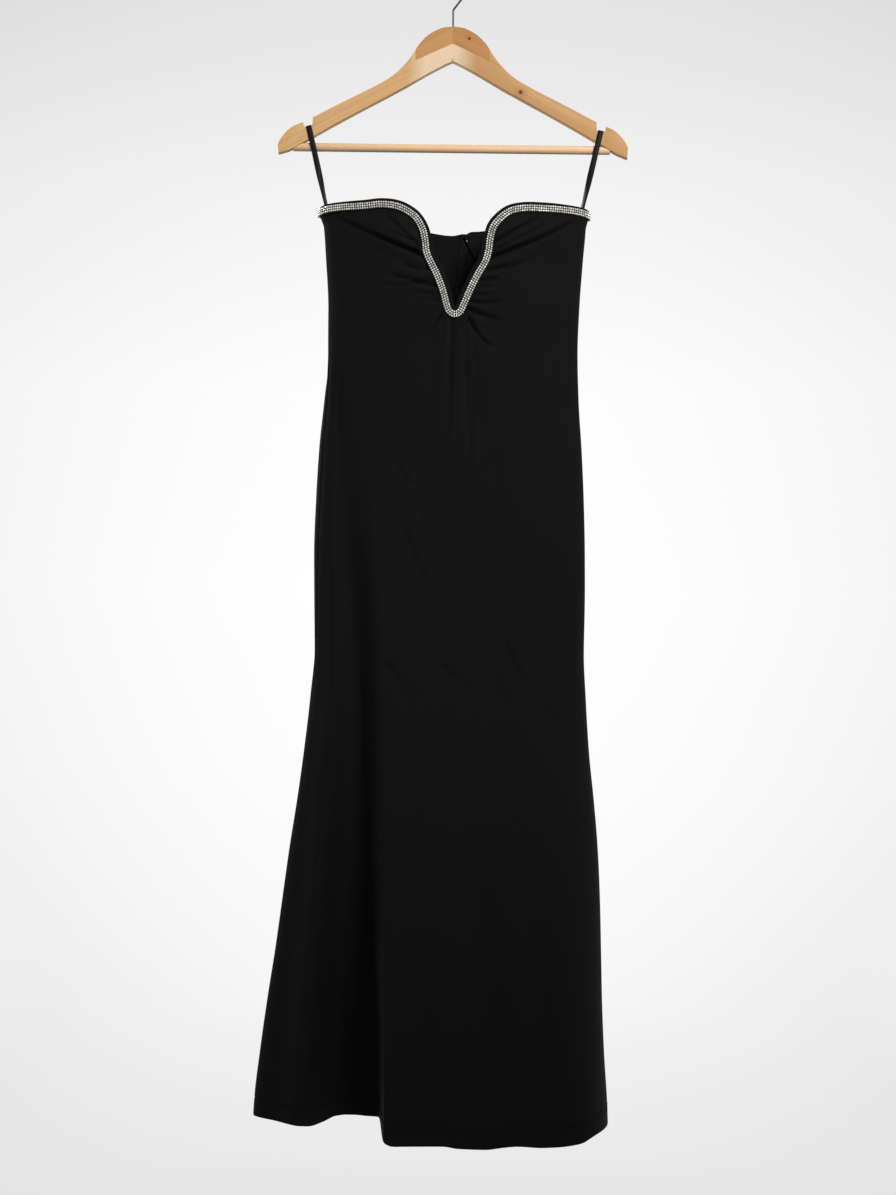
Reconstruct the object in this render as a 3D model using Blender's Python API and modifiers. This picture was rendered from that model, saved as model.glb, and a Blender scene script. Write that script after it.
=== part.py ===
"""Strapless jersey maxi dress with a stone-trimmed V neck, hung by its loops from a wooden hanger.

Frame: metres, +Z up, -Y towards the front of the dress, origin at the top of the inside of the hook,
where a rail carries the hanger. Sizes below are in millimetres and become metres in one place.
"""
import functools
import math

import bmesh
import bpy
import numpy as np
from mathutils import Vector

MM = 0.001

# Cloth and sewing
CLOTH = 1.6                 # thickness of the doubled jersey wall
SEAM_GAP = 0.3              # left between neighbouring pieces
SEAM_TOP = -307.0           # height of the top of both side seams
MERGE_Z = -500.0            # height below which the front needs half as many columns
GUARD = 1.0                 # width of the narrow column beside each seam
CLOTH_WIDTH = 345.0         # nominal width of the front panel, seam to seam, at the neck
SIDE_CROWN = 0.10           # share by which the front and back flatten towards the sides
BEND_REACH = 40.0           # how strongly columns gather where the plan bends
NECK_BEND_REACH = 14.0      # how strongly they gather where the neck edge bends
SIDE_ROUND = 42.0           # stretch of the neck edge that goes round each side
SIDE_EXTRA = 2.4            # how much closer the columns stand there
V_TOP = -320.0              # the columns also stand closer beside the V, from this height down
V_FADE = 20.0
V_EXTRA = 0.8
EDGE_REACH = 2.0            # stretch of the neck edge that gives its direction
FALL_START = 0.33           # how straight a column leaves the neck edge, as a share of its length
FALL_END = 0.42             # and how straight it comes down to the merge
SETTLE = 220.0              # drop below the merge over which the columns take their places for the skirt
HEM_Z = -1465.0             # nominal height of the hem
ROW_SPREAD = 0.3            # how much wider apart the skirt's rows stand at the hem
BACK_EDGE_Z = -327.0        # height at which the columns of the back meet its edge
VALLEY_SHARE = 0.3          # share of the way from fold to left side that is the fold's valley
FLUTES = 2.5                # soft waves across the back of the skirt
FLUTE_START = 0.6           # where the first wave starts, in radians
SIDE_SAMPLES = 40           # points of the plan round a quarter of a side
FACE_SAMPLES = 160          # and across the front or the back

# Columns and rows of the cloth grids
TOP_PAIRS = 34              # pairs of columns across the front above the merge
TOP_ROWS = 13               # rows from the trim down to the merge
SKIRT_ROWS = 21             # rows from the merge to the hem
BACK_COLUMNS = 10           # columns across each back panel between its guards

# Stone trim along the front neck
COLLAR = (0.0, 3.0, 6.5, 10.0, 13.5)     # lines that follow the neck edge, by their distance from it
TRIM_FOOT = 0.3                          # gap between cloth and band
TRIM_RISE = (1.6, 3.2, 3.2, 1.6)         # height of the band's top at its four lines
GATHER_START = 14.0                      # gathers begin this far from the neck edge
GATHER_FADE = 14.0                       # and reach full depth over this distance
GATHER_FAINT = 0.4                       # share of their lift at the faint end

# Centre back zip
ZIP_LENGTH = 300.0
ZIP_DROP = 2.0              # top of the tape below the cloth's edge
TAPE_WIDTH = 22.0
TAPE = 0.9
SLIDER = (6.0, 2.2, 9.0)    # width, depth and height of the slider's body
SLIDER_ROUND = 0.5
SLIDER_GAP = 0.5            # between the cloth and the slider
SLIDER_DROP = 1.0           # top of the slider below the top of the tape
LUG = (1.4, 4.4, 5.0)       # width, depth and height of the lug that carries the pull
LUG_SUNK = 0.4              # how deep the lug reaches into the body
LUG_BORE = 1.3              # radius of the hole in the lug
HINGE_LIFT = 4.4            # hinge line above the foot of the slider
PULL = (5.6, 1.2, 25.0)     # width, thickness and length of the pull tab
PULL_EYE = (3.0, 4.6)       # width and length of its eye
PULL_BAR = 1.3              # height of the bar above the eye
PULL_WAIST = 0.72           # width of the tab at the bar, as a share of its width
PULL_WIDEST = 0.62          # where it is full width, as a share of its length

# Hanger loops
RIBBON_WIDTH = 7.0
RIBBON = 1.0
LOOP_DEPTH = 7.4            # where the strands pass the faces of the arm
LOOP_SHOULDERS = ((1.0, 2.7), (0.9, 0.35))   # share of that depth, and drop, where the ribbon bends over the wood
LOOP_FOOT = -316.0          # height of the sewn ends inside the side seam
LOOP_LEAVE = -305.5         # height at which the strands lean out, just above the cloth
LOOP_LIE = 0.85             # share of the way up from which they lie against the arm
LOOP_CLEAR = 1.1            # from the wall to the flat ribbon, whose edges then lie close to the round side
LOOP_TWIST = 0.62           # share of the way up at which a strand faces the front
STRAND_GAP = 0.4            # between the two sewn ends of a loop
LOOP_NOTCH = {"left": (-181.0, -206.9), "right": (188.6, -209.2)}    # middle of the ribbon over each notch

# Hanger
ARM_THICK = 13.0
ARM_ROUND = 3.0
MITRE_GAP = 0.3
NOTCH_RADIUS = 6.2
NOTCH = {"left": (-182.0, -202.9), "right": (189.0, -205.2)}         # centre of each arm's round notch
ARM_REACH = {"left": 1.0, "right": 1.015}                            # length of each arm against the outline
BAR_RADIUS = 4.2
BAR_Z = -232.3
BAR_END = 200.5
BAR_SOCKET = 150.0          # distance from the middle at which the cutter for the bar starts
FIT = 0.3
PAST = 20.0                 # how far a cutter reaches beyond the wood
WIRE_RADIUS = 1.45
WOOD_TOP = -80.2
STEM_DEPTH = 12.0           # how far the wire goes into the wood
HOOK_RADIUS = 22.0          # of the wire's middle line
HOOK_LEAN = 37.0            # degrees between the stem and the straight stretch of the hook
HOOK_END = 222.0            # degrees at which the hook's open end stops
STEM_BEND = 5.0

# Colours as seen, 0 to 255, with roughness and metallic value
FINISHES = {
    "jersey": ((22, 22, 23), 0.85, 0.0),
    "satin": ((26, 26, 29), 0.4, 0.0),
    "stones": ((190, 188, 182), 0.2, 0.4),
    "tape": ((18, 18, 18), 0.8, 0.0),
    "enamel": ((20, 20, 20), 0.35, 0.3),
    "beech": ((204, 160, 114), 0.5, 0.0),
    "pale_beech": ((198, 160, 125), 0.55, 0.0),
    "steel": ((150, 150, 152), 0.3, 1.0),
}


def table(columns, *rows):
    """Rows under named columns, as one array for each column."""
    values = np.array(rows, dtype=float)
    return {name: values[:, place] for place, name in enumerate(columns.split())}


# Plan of the body at each height. left, right: the sides. front, back: how far the panels stand off
# the middle plane. flat: share of the half width before the side rounds away. fold_x, wall: place and width
# of the long drape fold, and fold: how fully it is formed. flute: depth of the waves in the back. seam_l,
# seam_r: how far each side seam is turned to the front. zip_x: the centre back line.
SECTIONS = table(
    "z      left   right  front back flat  fold_x fold  wall flute seam_l seam_r zip_x",
    (-300, -163.0, 172.0, 40, 38, 0.25, -142, 0.00, 44, 0, -5, -5, 24),
    (-318, -163.3, 171.9, 40, 38, 0.25, -142, 0.00, 44, 0, -5, -5, 24),
    (-337, -160.5, 171.0, 41, 38, 0.25, -142, 0.00, 44, 0, -5, -5, 24),
    (-375, -157.5, 168.0, 41, 38, 0.27, -142, 0.00, 44, 0, -3, -3, 21),
    (-425, -154.5, 165.0, 40, 36, 0.30, -142, 0.00, 44, 0, 0, 0, 16),
    (-488, -153.7, 163.0, 36, 34, 0.32, -140, 0.00, 44, 0, 5, 0, 10),
    (-551, -158.0, 165.0, 36, 36, 0.34, -135, 0.10, 42, 0, 11, 0, 7),
    (-615, -163.6, 169.6, 38, 40, 0.36, -128, 0.19, 40, 0, 13, 0, 6),
    (-678, -166.7, 172.9, 42, 44, 0.38, -122, 0.27, 38, 0, 14, 0, 5),
    (-741, -168.5, 174.9, 46, 48, 0.41, -114, 0.34, 36, 0, 14, 0, 4),
    (-805, -167.7, 175.6, 50, 50, 0.44, -108, 0.41, 34, 0, 13, 0, 3),
    (-868, -167.0, 175.0, 54, 52, 0.47, -103, 0.49, 32, 1, 10, 0, 2),
    (-931, -171.3, 178.3, 58, 56, 0.50, -100, 0.57, 30, 2, 5, 0, 0),
    (-995, -178.2, 182.9, 63, 61, 0.53, -98, 0.66, 28, 3, 2, 0, -2),
    (-1058, -186.4, 189.9, 68, 66, 0.56, -95, 0.75, 26, 5, 0, 0, -4),
    (-1122, -195.8, 195.7, 74, 71, 0.59, -90, 0.82, 24, 6, 0, 0, -6),
    (-1185, -203.9, 199.0, 80, 76, 0.62, -85, 0.88, 22, 7, 0, 0, -8),
    (-1248, -212.0, 201.0, 86, 81, 0.64, -81, 0.93, 21, 8, 0, 0, -9),
    (-1312, -221.4, 203.0, 91, 86, 0.66, -77, 0.97, 20, 9, 0, 0, -10),
    (-1375, -229.6, 206.2, 95, 90, 0.68, -75, 1.00, 19, 10, 0, 0, -11),
    (-1438, -236.5, 210.8, 100, 94, 0.70, -73, 1.00, 18, 11, 0, 0, -12),
    (-1480, -239.0, 213.0, 102, 96, 0.70, -72, 1.00, 18, 11, 0, 0, -12),
)

# Plan of the cloth that hangs back beside the full drape fold, from the left side to the fold's valley.
# along: share of the way. depth: share of the front's depth, before the side's rounding.
HANG = table(
    "along depth",
    (0.00, 0.52), (0.20, 0.48), (0.50, 0.64), (0.84, 0.05), (1.00, -0.08),
)

# Edge of the front neck, from the left cup over the point of the V to the right cup
NECKLINE = table(
    "x z",
    (-140, -307.6), (-108, -305.8), (-86, -303.6), (-68, -306.0), (-52, -312.0), (-38, -323.0),
    (-27.5, -341.0), (-23.5, -361.0), (-20.5, -373.0), (-8.0, -401.0), (2.7, -429.0), (8.0, -438.6),
    (13.5, -430.0), (30.0, -398.0), (38.5, -379.0), (41.2, -355.0), (46.0, -335.5), (56.5, -321.6),
    (71.0, -311.8), (88.0, -307.3), (115, -306.2), (150, -308.0),
)

# Edge of the back, from the left side seam to the right one
BACK_EDGE = table(
    "x z",
    (-160, -307), (-120, -314), (-75, -325), (-30, -333), (2, -337), (30, -331.5), (70, -325), (120, -314),
    (169, -307),
)

# Heights of the hem, front and back
FRONT_HEM = table(
    "x z",
    (-237, -1458.5), (-210, -1460.2), (-175, -1462), (-158, -1465), (-147, -1464.2), (-132, -1460),
    (-110, -1460), (-87, -1462), (-63, -1472), (-42, -1471.5), (4, -1471.2), (22, -1473.8), (56, -1474.7),
    (78, -1472), (95, -1470.8), (124, -1472.4), (145, -1471.6), (163, -1470.4), (175, -1469.4),
    (186, -1465.6), (196, -1463.2), (212, -1461.5),
)
BACK_HEM = table(
    "x z",
    (-237, -1458.5), (-160, -1462), (0, -1464), (140, -1463), (212, -1461.5),
)

# Drag folds, gathers and fullness of the front. Each runs from its faint end to its deep end, bows to one
# side by bow, stands lift high (or lies that deep) and is spread wide to either side.
GATHERS = table(
    "x0 z0 x1 z1 bow lift spread",
    (-122, -352, -62, -356, 0, 4.0, 34),      # left cup
    (64, -358, 130, -354, 0, 4.0, 34),        # right cup
    (-150, -322, -40, -360, 4, 3.2, 13),      # ridge above the left drag fold
    (-145, -328, -30, -376, 4, -3.6, 11),     # left drag fold
    (-86, -318, -35, -366, -3, -1.8, 8),      # crease in the left cup
    (160, -322, 60, -364, -4, 3.2, 13),       # ridge above the right drag fold
    (158, -330, 50, -379, -4, -3.6, 11),      # right drag fold
    (94, -334, 62, -357, 2, -1.8, 8),         # crease in the right cup
    (-74, -396, -14, -410, -3, -2.0, 8),      # gathers beside the V
    (-66, -386, -12, -388, 2, -1.6, 7),
    (-36, -468, 0, -438, -3, -2.0, 8),
    (-20, -478, 4, -446, -2, -1.6, 7),
    (74, -382, 40, -398, 2, -1.8, 8),
    (64, -404, 36, -406, -2, -1.5, 7),
    (72, -428, 24, -428, 2, -1.8, 8),
    (72, -451, 20, -440, 3, -1.8, 8),
    (44, -486, 14, -448, 3, -2.0, 8),
    (42, -640, 18, -456, 6, -2.2, 10),        # long folds below the V
    (1, -590, 2, -458, 0, -1.8, 9),
    (-142, -830, -142, -640, 0, -1.6, 12),    # soft folds in the skirt
    (-150, -1190, -146, -980, 0, -2.4, 14),
    (70, -1440, 44, -1120, 0, -3.0, 30),
    (140, -1440, 120, -1180, 0, -2.4, 24),
)

# Outline of one hanger arm, seen from the front, from the mitre out along the top and back underneath
ARM_TOP = table(
    "x z",
    (0, -80.2), (11.4, -81.5), (21.4, -85.4), (31.5, -91.8), (41.5, -102), (51.4, -117.5), (61.4, -130),
    (71.4, -139.8), (81.4, -147.3), (92, -153.6), (141.7, -179), (189, -203.4), (199.5, -207.6),
    (208, -214), (215.5, -222.9), (220, -231.5), (221.6, -238.5),
)
ARM_UNDER = table(
    "x z",
    (219, -243.7), (206, -238.6), (191, -229.8), (151.5, -206.8), (121.4, -190), (61, -157.2),
    (30.9, -139.4), (10.8, -128.6), (0, -123.4),
)


def smooth(xs, ys, at):
    """Height at one place of the smooth curve through points in rising xs, which never overshoots them."""
    steps = np.diff(xs)
    rises = np.diff(ys) / steps
    before, after = rises[:-1], rises[1:]
    agree = before * after > 0
    slopes = np.zeros(len(xs))
    slopes[0], slopes[-1] = rises[0], rises[-1]
    total = np.where(agree, before + after, 1.0)
    slopes[1:-1] = np.where(agree, 2 * before * after / total, 0.0)
    span = int(np.clip(np.searchsorted(xs, at) - 1, 0, len(steps) - 1))
    t = np.clip((at - xs[span]) / steps[span], 0.0, 1.0)
    start, end = ys[span], ys[span + 1]
    pull_start, pull_end = slopes[span] * steps[span], slopes[span + 1] * steps[span]
    return ((2 * t**3 - 3 * t**2 + 1) * start + (t**3 - 2 * t**2 + t) * pull_start
            + (3 * t**2 - 2 * t**3) * end + (t**3 - t**2) * pull_end)


def ease(value):
    """Rise from 0 to 1 with level ends."""
    t = np.clip(value, 0.0, 1.0)
    return t * t * (3 - 2 * t)


def curve_through(knots, steps=12):
    """Points of a centripetal Catmull-Rom curve through the knots."""
    knots = np.asarray(knots, dtype=float)
    first = 2 * knots[0] - knots[1]
    last = 2 * knots[-1] - knots[-2]
    padded = np.vstack([first, knots, last])
    points = [knots[0]]
    for place in range(1, len(padded) - 2):
        p0, p1, p2, p3 = padded[place - 1:place + 3]
        t0 = 0.0
        t1 = t0 + math.sqrt(np.linalg.norm(p1 - p0))
        t2 = t1 + math.sqrt(np.linalg.norm(p2 - p1))
        t3 = t2 + math.sqrt(np.linalg.norm(p3 - p2))
        for step in range(1, steps + 1):
            t = t1 + (t2 - t1) * step / steps
            a1 = (t1 - t) / (t1 - t0) * p0 + (t - t0) / (t1 - t0) * p1
            a2 = (t2 - t) / (t2 - t1) * p1 + (t - t1) / (t2 - t1) * p2
            a3 = (t3 - t) / (t3 - t2) * p2 + (t - t2) / (t3 - t2) * p3
            b1 = (t2 - t) / (t2 - t0) * a1 + (t - t0) / (t2 - t0) * a2
            b2 = (t3 - t) / (t3 - t1) * a2 + (t - t1) / (t3 - t1) * a3
            points.append((t2 - t) / (t2 - t1) * b1 + (t - t1) / (t2 - t1) * b2)
    return np.array(points)


def run_along(points):
    """Distance along a line of points."""
    return np.concatenate([[0.0], np.cumsum(np.linalg.norm(np.diff(points, axis=0), axis=1))])


def section(z):
    """The row of the plan table at any height."""
    heights = -SECTIONS["z"]
    return {name: smooth(heights, column, -z) for name, column in SECTIONS.items() if name != "z"}


@functools.lru_cache(maxsize=None)
def ring(z):
    """Plan of the body at one height: its outline, once round from the left side by way of the front."""
    plan = section(z)
    middle = (plan["left"] + plan["right"]) / 2
    half = (plan["right"] - plan["left"]) / 2
    turn = np.linspace(0.0, math.pi / 2, SIDE_SAMPLES)
    side = plan["flat"] + (1 - plan["flat"]) * np.cos(turn)
    across = np.linspace(-plan["flat"], plan["flat"], FACE_SAMPLES)[1:-1]
    share = np.concatenate([-side, across, side[::-1]])
    full = np.concatenate([np.sin(turn), np.ones(len(across)), np.sin(turn)[::-1]])
    x = middle + half * share
    body = full * (1 - SIDE_CROWN * share**2)

    valley = plan["fold_x"] - VALLEY_SHARE * (plan["fold_x"] - plan["left"])
    along = np.clip((x - plan["left"]) / (valley - plan["left"]), 0.0, 1.0)
    hang = np.sqrt(along) * [smooth(HANG["along"], HANG["depth"], part_way) for part_way in along]
    drawn_back = plan["fold"] * (1 - ease((x - plan["fold_x"]) / plan["wall"] + 0.5))
    front = -plan["front"] * (body - drawn_back * (body - hang))
    waves = plan["flute"] * full * np.cos(FLUTES * math.pi * share + FLUTE_START)
    back = plan["back"] * body + waves

    outline = np.vstack([np.column_stack([x, front]), np.column_stack([x, back])[::-1][1:]])
    run = run_along(outline)
    return {"points": outline, "run": run, "right": run[len(x) - 1], "total": run[-1], "plan": plan,
            "front": len(x)}


def level(z):
    """The ring at a height, to a hundredth of a millimetre."""
    return ring(round(float(z), 2))


def place(z, run):
    """Point of a ring at a distance along it, which may pass either end."""
    here = level(z)
    along = run % here["total"]
    points = here["points"]
    return np.array([np.interp(along, here["run"], points[:, 0]), np.interp(along, here["run"], points[:, 1])])


def outward(z, run):
    """Direction that leaves the body, in plan."""
    ahead = place(z, run + 1.5) - place(z, run - 1.5)
    ahead /= np.linalg.norm(ahead)
    return np.array([ahead[1], -ahead[0]])


def front_ends(z):
    """Where the front panel starts and ends along the ring."""
    here = level(z)
    start = here["plan"]["seam_l"] + SEAM_GAP / 2
    end = here["right"] - here["plan"]["seam_r"] - SEAM_GAP / 2
    return start, end


def zip_run(z):
    """Where the centre back line lies along the ring."""
    here = level(z)
    back = here["points"][here["front"] - 1:]
    run = here["run"][here["front"] - 1:]
    return np.interp(here["plan"]["zip_x"], back[::-1, 0], run[::-1])


def front_share(x, z):
    """Share of the front panel's width at which it reaches x."""
    here = level(z)
    front = here["points"][:here["front"], 0]
    start, end = front_ends(z)
    return (np.interp(x, front, here["run"][:here["front"]]) - start) / (end - start)


def neck_curve():
    """The neck edge on the flat cloth: distance from the left seam, and height."""
    knots = [(0.0, SEAM_TOP)]
    for x, z in zip(NECKLINE["x"], NECKLINE["z"]):
        knots.append((CLOTH_WIDTH * front_share(x, z), z))
    knots.append((CLOTH_WIDTH, SEAM_TOP))
    return curve_through(knots)


NECK = neck_curve()
NECK_RUN = run_along(NECK)


def near_neck(cloth_x, z):
    """Distance on the flat cloth from a point to the neck edge."""
    return np.min(np.hypot(NECK[:, 0] - cloth_x, NECK[:, 1] - z))


def gather_lines():
    """Each gather as a line of points with its lift and spread."""
    lines = []
    along = np.linspace(0.0, 1.0, 9)
    for x0, z0, x1, z1, bow, lift, spread in zip(*(GATHERS[name] for name in GATHERS)):
        length = math.hypot(x1 - x0, z1 - z0)
        swing = bow * 4 * along * (1 - along)
        xs = x0 + (x1 - x0) * along - (z1 - z0) / length * swing
        zs = z0 + (z1 - z0) * along + (x1 - x0) / length * swing
        lines.append((xs, zs, lift, spread))
    return lines


GATHER_LINES = gather_lines()


def relief(x, z):
    """How far the gathers lift the front at a point."""
    height = 0.0
    for xs, zs, lift, spread in GATHER_LINES:
        if min(xs) - spread > x or max(xs) + spread < x or min(zs) - spread > z or max(zs) + spread < z:
            continue
        dx, dz = np.diff(xs), np.diff(zs)
        t = np.clip(((x - xs[:-1]) * dx + (z - zs[:-1]) * dz) / (dx**2 + dz**2), 0.0, 1.0)
        away = np.hypot(xs[:-1] + t * dx - x, zs[:-1] + t * dz - z)
        nearest = int(np.argmin(away))
        if away[nearest] < spread:
            deep = GATHER_FAINT + (1 - GATHER_FAINT) * (nearest + t[nearest]) / len(dx)
            height += lift * deep * (1 - (away[nearest] / spread) ** 2) ** 2
    return height


def front_point(cloth_x, z):
    """Point of the front panel's face, from its place on the flat cloth."""
    start, end = front_ends(z)
    run = start + (end - start) * cloth_x / CLOTH_WIDTH
    point = place(z, run)
    lift = 0.0
    if GUARD * 2 < cloth_x < CLOTH_WIDTH - GUARD * 2:
        fade = ease((near_neck(cloth_x, z) - GATHER_START) / GATHER_FADE) if z > MERGE_Z else 1.0
        lift = fade * relief(point[0], z)
    point = point + lift * outward(z, run)
    return np.array([point[0], point[1], z])


def even_in_bends(z, start, end, count):
    """Shares of the way from start to end for count columns, closer where the ring bends."""
    here = level(z)
    runs = np.linspace(start, end, 400)
    points = np.array([np.interp(runs % here["total"], here["run"], here["points"][:, axis]) for axis in (0, 1)])
    heading = np.unwrap(np.arctan2(*np.diff(points)[::-1]))
    bends = np.concatenate([[0.0], np.abs(np.diff(heading)), [0.0]])
    weight = np.cumsum((end - start) / len(runs) + BEND_REACH * bends)
    weight -= weight[0]
    return np.interp(np.linspace(0, weight[-1], count + 1), weight, (runs - start) / (end - start))


def neck_columns():
    """Places of the front's columns along the neck edge, closer beside the V and round the sides."""
    ahead = np.diff(NECK, axis=0)
    heading = np.unwrap(np.arctan2(ahead[:, 1], ahead[:, 0]))
    bends = np.concatenate([[0.0], np.abs(np.diff(heading)), [0.0]])
    length = NECK_RUN[-1]
    beside_v = V_EXTRA * ease((V_TOP - NECK[:, 1]) / V_FADE)
    round_side = SIDE_EXTRA * (1 - ease(np.minimum(NECK_RUN, length - NECK_RUN) / SIDE_ROUND))
    weight = np.cumsum(np.gradient(NECK_RUN) * (1.0 + beside_v + round_side) + NECK_BEND_REACH * bends)
    weight -= weight[0]
    inner = np.interp(np.linspace(0, weight[-1], 2 * TOP_PAIRS + 1), weight, NECK_RUN)
    inner[0], inner[-1] = GUARD, length - GUARD
    return np.concatenate([[0.0], inner, [length]])


def front_grid():
    """Rows of the front above and below the merge, on the flat cloth."""
    runs = neck_columns()
    top = []
    for run in runs:
        edge = np.array([np.interp(run, NECK_RUN, NECK[:, axis]) for axis in (0, 1)])
        after = np.array([np.interp(run + EDGE_REACH, NECK_RUN, NECK[:, axis]) for axis in (0, 1)])
        before = np.array([np.interp(run - EDGE_REACH, NECK_RUN, NECK[:, axis]) for axis in (0, 1)])
        ahead = (after - before) / np.linalg.norm(after - before)
        inward = np.array([ahead[1], -ahead[0]])
        merge_x = CLOTH_WIDTH * run / NECK_RUN[-1]
        at_seam = run <= GUARD or run >= NECK_RUN[-1] - GUARD
        if at_seam:
            inward = np.array([0.0, -1.0])
            merge_x = edge[0] = run if run <= GUARD else CLOTH_WIDTH - (NECK_RUN[-1] - run)
        column = [edge + inward * away for away in COLLAR]
        foot = np.array([merge_x, MERGE_Z])
        drop = np.linalg.norm(foot - column[-1])
        first = column[-1] + inward * FALL_START * drop
        last = foot + np.array([0.0, FALL_END * drop])
        for row in range(1, TOP_ROWS + 1):
            t = row / TOP_ROWS
            column.append((1 - t)**3 * column[len(COLLAR) - 1] + 3 * (1 - t)**2 * t * first
                          + 3 * (1 - t) * t**2 * last + t**3 * foot)
        top.append(column)
    return np.array(top).transpose(1, 0, 2)


def hem_height(edge, x):
    """Height of a hem at x."""
    return smooth(edge["x"], edge["z"], x)


def skirt_share(row):
    """Share of the way from the merge to the hem at a row, with the rows closer at the top."""
    t = row / SKIRT_ROWS
    return t * (1 - ROW_SPREAD + ROW_SPREAD * t)


def settle(z):
    """How far the columns have left their places at the merge."""
    return ease((MERGE_Z - z) / SETTLE)


def front_skirt_row(row, merge_shares):
    """Points of one row of the front below the merge."""
    guess = MERGE_Z + (HEM_Z - MERGE_Z) * skirt_share(row)
    start, end = front_ends(guess)
    width = end - start
    even = even_in_bends(guess, start + GUARD, end - GUARD, len(merge_shares) - 3)
    even = (GUARD + even * (width - 2 * GUARD)) / width
    even = np.concatenate([[0.0], even, [1.0]])
    shares = merge_shares + settle(guess) * (even - merge_shares)
    points = []
    for share in shares:
        hem_x = place(HEM_Z, np.interp(share, (0, 1), front_ends(HEM_Z)))[0]
        z = MERGE_Z + (hem_height(FRONT_HEM, hem_x) - MERGE_Z) * skirt_share(row)
        points.append(front_point(CLOTH_WIDTH * share, z))
    return points


def collection(name):
    """A new collection in the scene."""
    made = bpy.data.collections.new(name)
    bpy.context.scene.collection.children.link(made)
    return made


def material(finish):
    """The material of one finish, made once."""
    if finish in bpy.data.materials:
        return bpy.data.materials[finish]
    seen, roughness, metallic = FINISHES[finish]
    made = bpy.data.materials.new(finish)
    made.use_nodes = True
    shader = made.node_tree.nodes["Principled BSDF"]
    colour = [(value / 255) ** 2.2 for value in seen]
    shader.inputs["Base Color"].default_value = (*colour, 1.0)
    shader.inputs["Roughness"].default_value = roughness
    shader.inputs["Metallic"].default_value = metallic
    made.diffuse_color = (*colour, 1.0)
    return made


def add_object(name, mesh, finish, group):
    """Link a mesh into a group under a name, with its finish."""
    made = bpy.data.objects.new(name, mesh)
    group.objects.link(made)
    if finish:
        mesh.materials.append(material(finish))
    return made


def mesh_of(name, vertices, faces):
    """A mesh from points in millimetres."""
    mesh = bpy.data.meshes.new(name)
    mesh.from_pydata([Vector(point) * MM for point in vertices], [], faces)
    return mesh


def thicken(made, thickness):
    """Give an open surface its wall, inward from the face."""
    wall = made.modifiers.new("wall", "SOLIDIFY")
    wall.thickness = thickness * MM
    wall.offset = -1.0


def grid_faces(rows, columns, first=0):
    """Faces of a grid whose rows run down and whose columns run round the body."""
    faces = []
    for row in range(rows - 1):
        for column in range(columns - 1):
            corner = first + row * columns + column
            faces.append((corner + columns, corner + columns + 1, corner + 1, corner))
    return faces


def make_front(group):
    """Front panel, gathered into the point of the V. Returns the face's points under the trim too."""
    plan = front_grid()
    columns = plan.shape[1]
    rows = [[front_point(x, z) for x, z in line] for line in plan]
    vertices = [point for line in rows for point in line]
    faces = grid_faces(len(rows), columns)

    merge_first = (len(rows) - 1) * columns
    kept = [0] + list(range(1, columns - 1, 2)) + [columns - 1]
    merge_shares = plan[-1, kept, 0] / CLOTH_WIDTH
    upper = [merge_first + column for column in kept]
    for row in range(1, SKIRT_ROWS + 1):
        first = len(vertices)
        vertices.extend(front_skirt_row(row, merge_shares))
        lower = [first + column for column in range(len(kept))]
        for column in range(len(kept) - 1):
            a, b, c, d = lower[column], lower[column + 1], upper[column + 1], upper[column]
            if row == 1 and c - d == 2:
                faces.extend([(a, d + 1, d), (a, b, d + 1), (b, c, d + 1)])
            else:
                faces.append((a, b, c, d))
        upper = lower
    mesh = mesh_of("front_panel", vertices, faces)
    thicken(add_object("front_panel", mesh, "jersey", group), CLOTH)
    return mesh, columns, [float(point[2]) for point in (line[0] for line in rows)]


def make_trim(group, cloth, columns):
    """Band of stones on the front neck, from the cloth's own points moved out."""
    sections = []
    for column in range(columns):
        lines = [cloth.vertices[row * columns + column] for row in range(1, len(COLLAR))]
        foot = [line.co / MM + line.normal * TRIM_FOOT for line in lines]
        back = [line.co / MM + line.normal * rise for line, rise in zip(lines, TRIM_RISE)]
        sections.append(foot + back[::-1])
    add_object("stone_trim", loft("stone_trim", sections), "stones", group)


def loft(name, sections):
    """Closed body through sections with the same number of points each."""
    count = len(sections[0])
    vertices = [point for points in sections for point in points]
    faces = [tuple(range(count)), tuple(range(len(vertices) - 1, len(vertices) - count - 1, -1))]
    for place_in_row in range(len(sections) - 1):
        first = place_in_row * count
        for corner in range(count):
            after = (corner + 1) % count
            faces.append((first + corner, first + corner + count, first + after + count, first + after))
    mesh = mesh_of(name, vertices, faces)
    made = bmesh.new()
    made.from_mesh(mesh)
    bmesh.ops.recalc_face_normals(made, faces=made.faces[:])
    made.to_mesh(mesh)
    made.free()
    return mesh


def back_heights(seam_heights, x, hem_x):
    """Heights of a back column's rows, in step with the rows at the side seams."""
    top = smooth(BACK_EDGE["x"], BACK_EDGE["z"], x)
    squeeze = (MERGE_Z - top) / (MERGE_Z - SEAM_TOP)
    heights = [top + (z - SEAM_TOP) * squeeze for z in seam_heights]
    hem = hem_height(BACK_HEM, hem_x)
    heights += [MERGE_Z + (hem - MERGE_Z) * skirt_share(row) for row in range(1, SKIRT_ROWS + 1)]
    return heights


def back_ends(side, z):
    """Where a back panel starts and ends along the ring."""
    here = level(z)
    middle = zip_run(z)
    if side == "right":
        return here["right"] - here["plan"]["seam_r"] + SEAM_GAP / 2, middle - SEAM_GAP / 2
    return middle + SEAM_GAP / 2, here["total"] + here["plan"]["seam_l"] - SEAM_GAP / 2


def back_runs(side, z):
    """Runs of a back panel's columns at one height, with a guard beside each of its two seams."""
    start, end = back_ends(side, z)
    inner = start + GUARD + even_in_bends(z, start + GUARD, end - GUARD, BACK_COLUMNS) * (end - start - 2 * GUARD)
    return [start, *inner, end]


def back_point(side, column, z):
    """Point of a back panel's face."""
    x, y = place(z, back_runs(side, z)[column])
    return np.array([x, y, z])


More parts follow.
